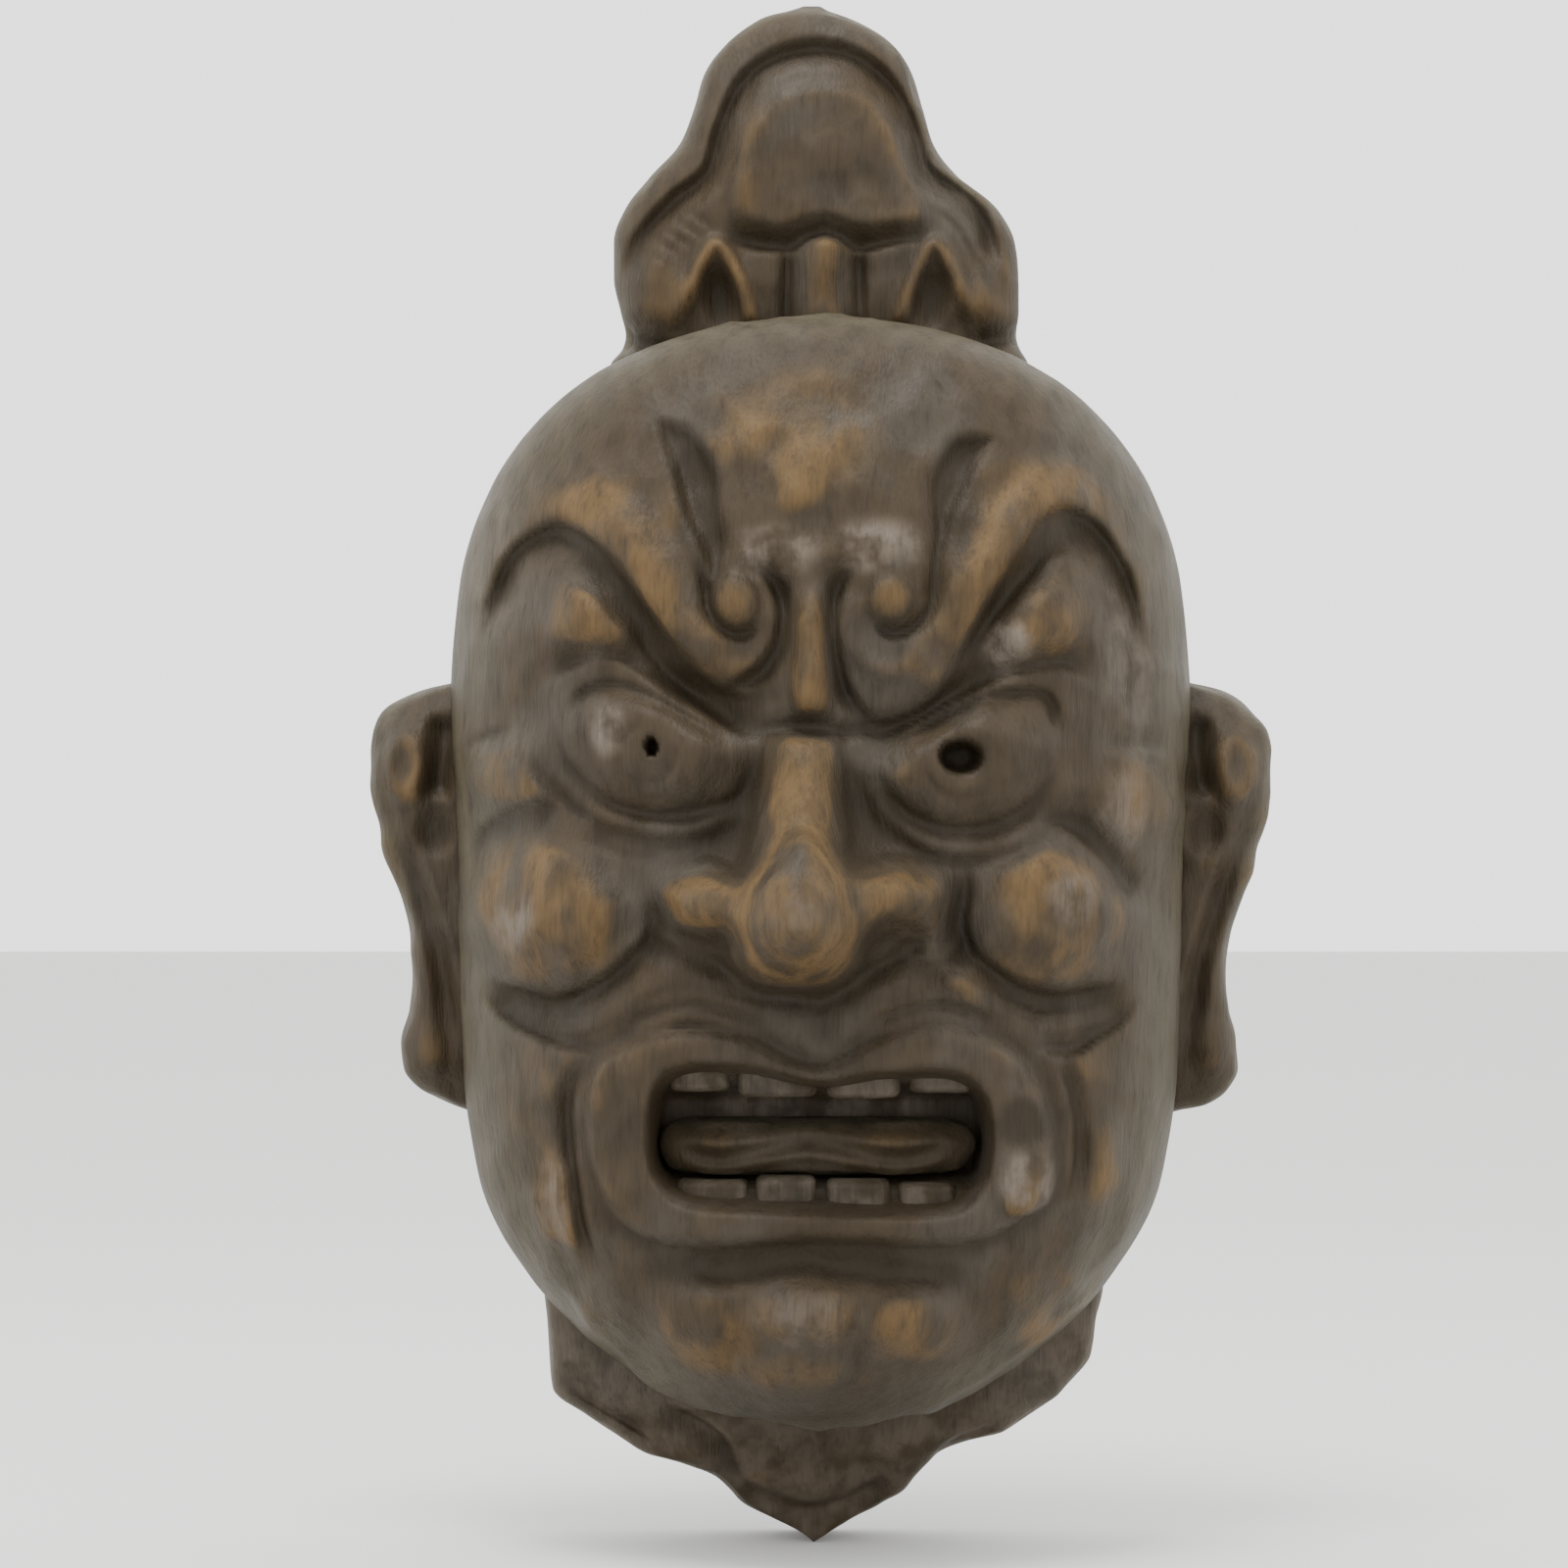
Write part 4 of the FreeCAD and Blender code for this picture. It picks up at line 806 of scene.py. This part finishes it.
def make_ear(side):
    """A long-lobed ear: a rounded rim, a scrolled shell and a groove down the lobe."""
    sign = {"left": 1, "right": -1}[side]
    edges = zip(EAR_HEIGHTS, EAR_EDGES[side], EAR_FRONTS, EAR_BACKS)
    rows = [(z, *sorted((sign * EAR_ROOT, sign * edge)), front, back)
            for z, edge, front, back in edges]
    shell = Shell(rows, 130, 70, 60, roundness=3.0)
    relief = shell.relief

    def at(*points):
        """Points on this ear, given as on the one at +x."""
        return [(sign * x, z) for x, z in points]

    relief.dome((sign * 121, 4), 9, 13.5, 4.5, 0, 2.0)
    relief.dome((sign * 121, 5), 5, 9, -3.0)
    relief.ridge(at((110, 21), (110, 8), (112, -6)), -6.0, 6.0, 0.2, 0.2)
    relief.dome((sign * 112, -14), 7, 9, -4.0, 0, 1.5)
    relief.ridge(at((122, 24), (128, 16), (129.5, 2), (126, -18), (120, -36)), 2.2, 4.0)
    relief.ridge(at((123, -13), (119, -24), (114, -40), (110, -56), (108, -78)), -4.5, 5.0)
    relief.dome((sign * 114, -78), 7, 12, 3.0)
    relief.chips(8.0, 0.6, 71)
    relief.h += 0.4 * ripple(relief.x, relief.z, 18, 72)
    return grid_piece(f"ear_{side}_carving", shell.raised(), shell.marks(0.9))


def make_collar():
    """The pointed collar, with a fold either side of its middle and a flat along its hem."""
    shell = Shell(COLLAR, 100, 170, 60, roundness=7.0)
    relief = shell.relief
    relief.cut([(-49, -181), (-39, -184), (-30, -190), (-25, -199), (-23, -209)], 4.5, 1.8, 9)
    relief.cut([(33, -197), (41, -191), (53, -187)], 3.0, 1.8, 7)
    relief.cut([(-80, -172), (-64, -182), (-46, -193)], 2.5, 7, 1.8)
    relief.cut([(-23, -205), (-2, -212), (20, -203)], 3.0, 1.8, 10, 0.1, 0.1)
    relief.ridge([(-60, -170), (-40, -177), (-15, -186), (-8, -200)], 1.5, 6)
    relief.chips(9.0, 0.8, 81)
    relief.h += 0.5 * ripple(relief.x, relief.z, 20, 82)
    points = shell.raised()
    marks = shell.marks(1.0)
    # painted highlight: the whole collar lightened
    marks["painted_highlight"] = np.full(shell.x.shape, 0.35)
    return grid_piece("collar_carving", points, marks)


# The teeth and the tongue

# Each tooth's edges across the mouth, and the height of its foot and head.
UPPER_TEETH = [(-43, -25.5, -87, -77), (-23.6, -1.2, -88.5, -77), (1.4, 22.4, -88.8, -77),
               (24.4, 42.5, -87.5, -77)]
LOWER_TEETH = [(-41, -20.6, -120.5, -111.8), (-18.6, -1.6, -120.5, -110.6),
               (1.2, 19.4, -120.5, -111.6), (21.4, 38, -120.5, -112.6)]
TOOTH_FRONT = 109
TOOTH_BACK = MOUTH_FLOOR - 0.5  # let half a millimetre into the floor


def make_tooth(name, left, right, foot, head, seed):
    """One tooth: a block with worn corners and a faintly hollowed face."""
    back, front = TOOTH_BACK, TOOTH_FRONT - 0.05 * abs(left + right)
    corner = [(0, 1.8, 2.5), (0.7, 0.6, 0.8), (2.0, 0, 0)]  # in from the end, side and front
    ends = [(foot + end, *worn) for end, *worn in corner]
    ends += [(head - end, *worn) for end, *worn in reversed(corner)]
    rows = [(z, left + side, right - side, front - face, back) for z, side, face in ends]
    shell = Shell(rows, 22, 36, 12, roundness=6.0)
    shell.relief.chips(7.0, 0.5, seed)
    points = shell.raised()
    marks = shell.marks(0.7)
    # painted highlight: every tooth lightened
    marks["painted_highlight"] = np.full(shell.x.shape, 0.6)
    return grid_piece(name, points, marks)


def make_tongue():
    """The tongue: two low swellings with a furrow between them."""
    rows = [(-111, -38, 34, 97, TOOTH_BACK), (-109, -43, 40, 103, TOOTH_BACK),
            (-102, -46, 44, 105, TOOTH_BACK), (-97, -44, 41, 101, TOOTH_BACK),
            (-95, -38, 35, 94, TOOTH_BACK)]
    shell = Shell(rows, 34, 96, 24, roundness=2.6)
    relief = shell.relief
    relief.dome((-26, -101), 20, 7, 3.0)
    relief.dome((22, -101), 20, 7, 3.0)
    edge = [(-42, -106), (-30, -109), (-17, -107), (-4, -105), (9, -107), (22, -109), (38, -106)]
    relief.ridge([(x, z + 4) for x, z in edge], -1.8, 3.0, 0.1, 0.1)
    relief.ridge(edge, 1.5, 2.4, 0.1, 0.1)
    relief.chips(8.0, 0.6, 91)
    return grid_piece("tongue_carving", shell.raised(), shell.marks(0.9))


def copied(piece):
    """A copy of a piece, to cut its seat with."""
    twin = bpy.data.objects.new(piece.name + "_seat", piece.data.copy())
    bpy.context.scene.collection.objects.link(twin)
    return twin


# Camera, light and floor


def set_camera():
    """Level with the mask and square to it, some way off with a long lens."""
    low, high = Vector(cad_bounds[0]), Vector(cad_bounds[1])
    tall = high.z - low.z
    view_height, distance, middle_depth = 1.0171 * tall, 1.7, 0.045
    camera = bpy.data.objects.new("camera", bpy.data.cameras.new("camera"))
    camera.data.sensor_width = SENSOR_WIDTH
    camera.data.lens = SENSOR_WIDTH * distance / view_height
    camera.location = (-0.0106, -middle_depth - distance, low.z + 0.4953 * tall)
    camera.rotation_euler = (math.radians(90), 0, 0)
    bpy.context.scene.collection.objects.link(camera)
    bpy.context.scene.camera = camera


def area_light(name, place, size, power):
    """A soft square light that looks at the middle of the mask."""
    light = bpy.data.lights.new(name, "AREA")
    light.size = size
    light.energy = power
    lamp = bpy.data.objects.new(name, light)
    lamp.location = place
    towards = Vector((0, -0.05, 0)) - Vector(place)
    lamp.rotation_euler = towards.to_track_quat("-Z", "Y").to_euler()
    bpy.context.scene.collection.objects.link(lamp)


def set_light():
    """A pale room with a broad light above and weaker ones at both sides."""
    world = bpy.data.worlds.new("room")
    world.use_nodes = True
    background = world.node_tree.nodes["Background"]
    background.inputs["Color"].default_value = (1, 1, 1, 1)
    background.inputs["Strength"].default_value = 2.3
    bpy.context.scene.world = world
    area_light("key", (-0.2, -0.6, 1.5), 0.6, 30)
    area_light("side_right", (-1.4, 0.1, 0.3), 0.9, 4)
    area_light("side_left", (1.4, 0.1, 0.3), 0.9, 4)


def make_floor():
    """A plain pale floor at the mask's lowest point."""
    low, reach = Vector(cad_bounds[0]), 6.0
    corners = [(-reach, -reach), (reach, -reach), (reach, reach), (-reach, reach)]
    mesh = bpy.data.meshes.new("floor")
    mesh.from_pydata([(x, y, low.z) for x, y in corners], [], [(0, 1, 2, 3)])
    material = bpy.data.materials.new("floor")
    material.use_nodes = True
    shader = material.node_tree.nodes["Principled BSDF"]
    shader.inputs["Base Color"].default_value = (0.62, 0.62, 0.61, 1)
    shader.inputs["Roughness"].default_value = 0.8
    mesh.materials.append(material)
    new_piece("floor", mesh)


# Materials


class Nodes:
    """A material's node tree, with short calls to add and join nodes."""

    def __init__(self, name):
        self.material = bpy.data.materials.new(name)
        self.material.use_nodes = True
        self.tree = self.material.node_tree
        self.shader = self.tree.nodes["Principled BSDF"]

    def add(self, kind, settings=None, **inputs):
        """A node with its settings, and its inputs given as values or as sockets."""
        node = self.tree.nodes.new("ShaderNode" + kind)
        for key, value in (settings or {}).items():
            setattr(node, key, value)
        for key, value in inputs.items():
            self.join(node.inputs[key.replace("_", " ")], value)
        return node

    def join(self, socket, value):
        """Feeds a socket from another socket, or sets its value."""
        if isinstance(value, bpy.types.NodeSocket):
            self.tree.links.new(value, socket)
        else:
            socket.default_value = value

    def sum(self, operation, *values):
        """A Math node's result, held to 0 to 1 unless it adds."""
        node = self.tree.nodes.new("ShaderNodeMath")
        node.operation = operation
        node.use_clamp = operation != "ADD"
        for socket, value in zip(node.inputs, values):
            self.join(socket, value)
        return node.outputs[0]

    def mark(self, name):
        """A mark that the carving left on each point of its mesh."""
        return self.add("Attribute", {"attribute_name": name}).outputs["Fac"]

    def mix(self, share, below, above):
        """One colour over another."""
        node = self.add("Mix", {"data_type": "RGBA"})
        self.join(node.inputs[0], share)
        self.join(node.inputs[6], below)
        self.join(node.inputs[7], above)
        return node.outputs[2]

    def steps(self, value, low, high):
        """A value stretched so that low becomes 0 and high becomes 1."""
        smooth = {"interpolation_type": "SMOOTHSTEP"}
        return self.add("MapRange", smooth, Value=value, From_Min=low, From_Max=high).outputs[0]

    def noise(self, place, scale, detail=4.0):
        """Noise at some coordinates, from 0 to 1."""
        return self.add("TexNoise", Vector=place, Scale=scale, Detail=detail).outputs["Fac"]

    def place(self, location=(0, 0, 0), scale=(1, 1, 1)):
        """The object's own coordinates, moved and stretched."""
        source = self.add("TexCoord").outputs["Object"]
        return self.add("Mapping", Vector=source, Location=location, Scale=scale).outputs[0]


STAIN = (0.040, 0.029, 0.017, 1)
# a dark for the grain and for painted shade in the recesses
GRAIN_AND_SHADE_COLOUR = (0.017, 0.013, 0.008, 1)
WORN = (0.092, 0.057, 0.024, 1)
COOL = (0.052, 0.044, 0.034, 1)
# painted sheen on the sides turned from the viewer
PAINTED_SHEEN_COLOUR = (0.066, 0.056, 0.036, 1)
# painted highlight for pale patches where the surface catches the light
PAINTED_HIGHLIGHT_COLOUR = (0.125, 0.102, 0.080, 1)
PALE_WOOD = (0.42, 0.28, 0.15, 1)
DARK_WOOD = (0.21, 0.12, 0.055, 1)


def stained_wood():
    """Dark waxed timber: ringed grain, painted sheen on the sides, worn edges, painted
    highlights and painted shade in the recesses.
    """
    n = Nodes("stained_wood")
    rings = n.place(location=(0.002, 0.062, -0.026), scale=(1, 0.9, 0.3))
    cloud = n.noise(n.place(), 30, 4)
    patches = n.noise(n.place(scale=(1, 1, 0.6)), 60, 4)
    mottle = n.noise(n.place(scale=(1, 1, 0.35)), 260, 6)
    threads = n.noise(n.place(scale=(1, 1, 0.07)), 1100, 5)
    ring = n.add("TexWave", {"wave_type": "RINGS", "rings_direction": "SPHERICAL"},
                 Vector=rings, Scale=42, Distortion=3.5, Detail=2.5, Detail_Scale=1.6)
    colour = n.mix(n.sum("MULTIPLY", n.steps(cloud, 0.46, 0.68), 0.8), STAIN, COOL)
    # painted sheen: the sides turned from the viewer made paler
    colour = n.mix(n.sum("MULTIPLY", n.mark("turned"), 0.85), colour, PAINTED_SHEEN_COLOUR)
    worn = n.sum("MULTIPLY", n.steps(n.mark("proud"), 0.15, 0.9), n.steps(patches, 0.34, 0.60))
    colour = n.mix(worn, colour, WORN)
    # painted highlight patches at the listed places and on the teeth and collar
    highlight_share = n.sum("MULTIPLY", n.mark("painted_highlight"), n.steps(n.noise(n.place(), 110, 4), 0.35, 0.62))
    colour = n.mix(highlight_share, colour, PAINTED_HIGHLIGHT_COLOUR)
    dark = n.sum("ADD", n.sum("MULTIPLY", ring.outputs["Fac"], 0.20),
                 n.sum("MULTIPLY", n.steps(threads, 0.45, 0.75), 0.25))
    dark = n.sum("ADD", dark, n.sum("MULTIPLY", n.steps(mottle, 0.45, 0.75), 0.35))
    colour = n.mix(dark, colour, GRAIN_AND_SHADE_COLOUR)
    # painted shade darkens the creases, hollows, mouth and pupils
    colour = n.mix(n.sum("MULTIPLY", n.steps(n.mark("hollow"), 0.1, 1.0), 0.6), colour, GRAIN_AND_SHADE_COLOUR)
    n.join(n.shader.inputs["Base Color"], colour)
    n.join(n.shader.inputs["Specular IOR Level"], 0.12)
    rough = n.add("MapRange", Value=patches, To_Min=0.40, To_Max=0.65)
    n.join(n.shader.inputs["Roughness"], rough.outputs[0])
    grain = n.sum("ADD", threads, n.sum("MULTIPLY", ring.outputs["Fac"], 0.5))
    grain = n.sum("ADD", grain, n.sum("MULTIPLY", mottle, 1.5))
    bump = n.add("Bump", Strength=0.7, Distance=0.0005, Height=grain)
    n.join(n.shader.inputs["Normal"], bump.outputs[0])
    return n.material


def plain_wood(name, dark, light, along):
    """Planed timber with its grain along one axis, given as a scale."""
    n = Nodes(name)
    grain = n.noise(n.place(scale=along), 420, 5)
    n.join(n.shader.inputs["Base Color"], n.mix(n.steps(grain, 0.3, 0.7), dark, light))
    n.join(n.shader.inputs["Roughness"], 0.6)
    bump = n.add("Bump", Strength=0.3, Distance=0.0003, Height=grain)
    n.join(n.shader.inputs["Normal"], bump.outputs[0])
    return n.material


def metal(name, dull, bright, rough):
    """Metal with small dull stains."""
    n = Nodes(name)
    stains = n.steps(n.noise(n.place(), 320, 5), 0.42, 0.66)
    n.join(n.shader.inputs["Base Color"], n.mix(stains, bright, dull))
    n.join(n.shader.inputs["Metallic"], 1.0)
    spread = n.add("MapRange", Value=stains, To_Min=rough, To_Max=rough + 0.25)
    n.join(n.shader.inputs["Roughness"], spread.outputs[0])
    return n.material


def finish_fittings():
    """Materials for the batten, dowels, screws, strap and ring that come from the CAD."""
    brass = metal("brass", (0.30, 0.20, 0.08, 1), (0.72, 0.50, 0.20, 1), 0.30)
    steel = metal("steel", (0.16, 0.13, 0.11, 1), (0.46, 0.46, 0.47, 1), 0.32)
    dowel = plain_wood("dowel", DARK_WOOD, PALE_WOOD, (1, 1, 0.12))
    materials = {
        "batten": plain_wood("batten", DARK_WOOD, PALE_WOOD, (0.1, 1, 1)),
        "batten_screws": brass, "hanger_screws": brass,
        "hanger_strap": steel, "hanger_ring": steel,
    }
    for block in ("topknot", "collar", "ear_left", "ear_right"):
        materials[f"{block}_dowels"] = dowel
    for node, material in materials.items():
        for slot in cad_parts[node].material_slots:
            slot.material = material


def finish_piece(piece, material, slot, *nodes):
    """Gives a carved piece its material and its body, and hides the nodes it stands for. The
    slot is not used.
    """
    piece.data.materials.clear()
    piece.data.materials.append(material)
    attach(piece, "mask")
    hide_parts(*nodes)


def make_mask():
    """All the carved blocks, each let into the face block where it joins it."""
    wood = stained_wood()
    head = make_head()
    blocks = {
        "topknot": make_topknot(),
        "ear_left": make_ear("left"),
        "ear_right": make_ear("right"),
        "collar": make_collar(),
    }
    subtract(head, [copied(block) for block in blocks.values()])
    finish_piece(head, wood, "stained_wood", "face_block")
    for node, block in blocks.items():
        finish_piece(block, wood, "stained_wood", node)
    for node, row in (("upper_teeth", UPPER_TEETH), ("lower_teeth", LOWER_TEETH)):
        for k, (left, right, foot, top) in enumerate(row):
            tooth = make_tooth(f"{node}_{k + 1}", left, right, foot, top, 95 + k)
            finish_piece(tooth, wood, "stained_wood", node)
    finish_piece(make_tongue(), wood, "stained_wood", "tongue")


set_camera()
set_light()
make_floor()
make_mask()
finish_fittings()
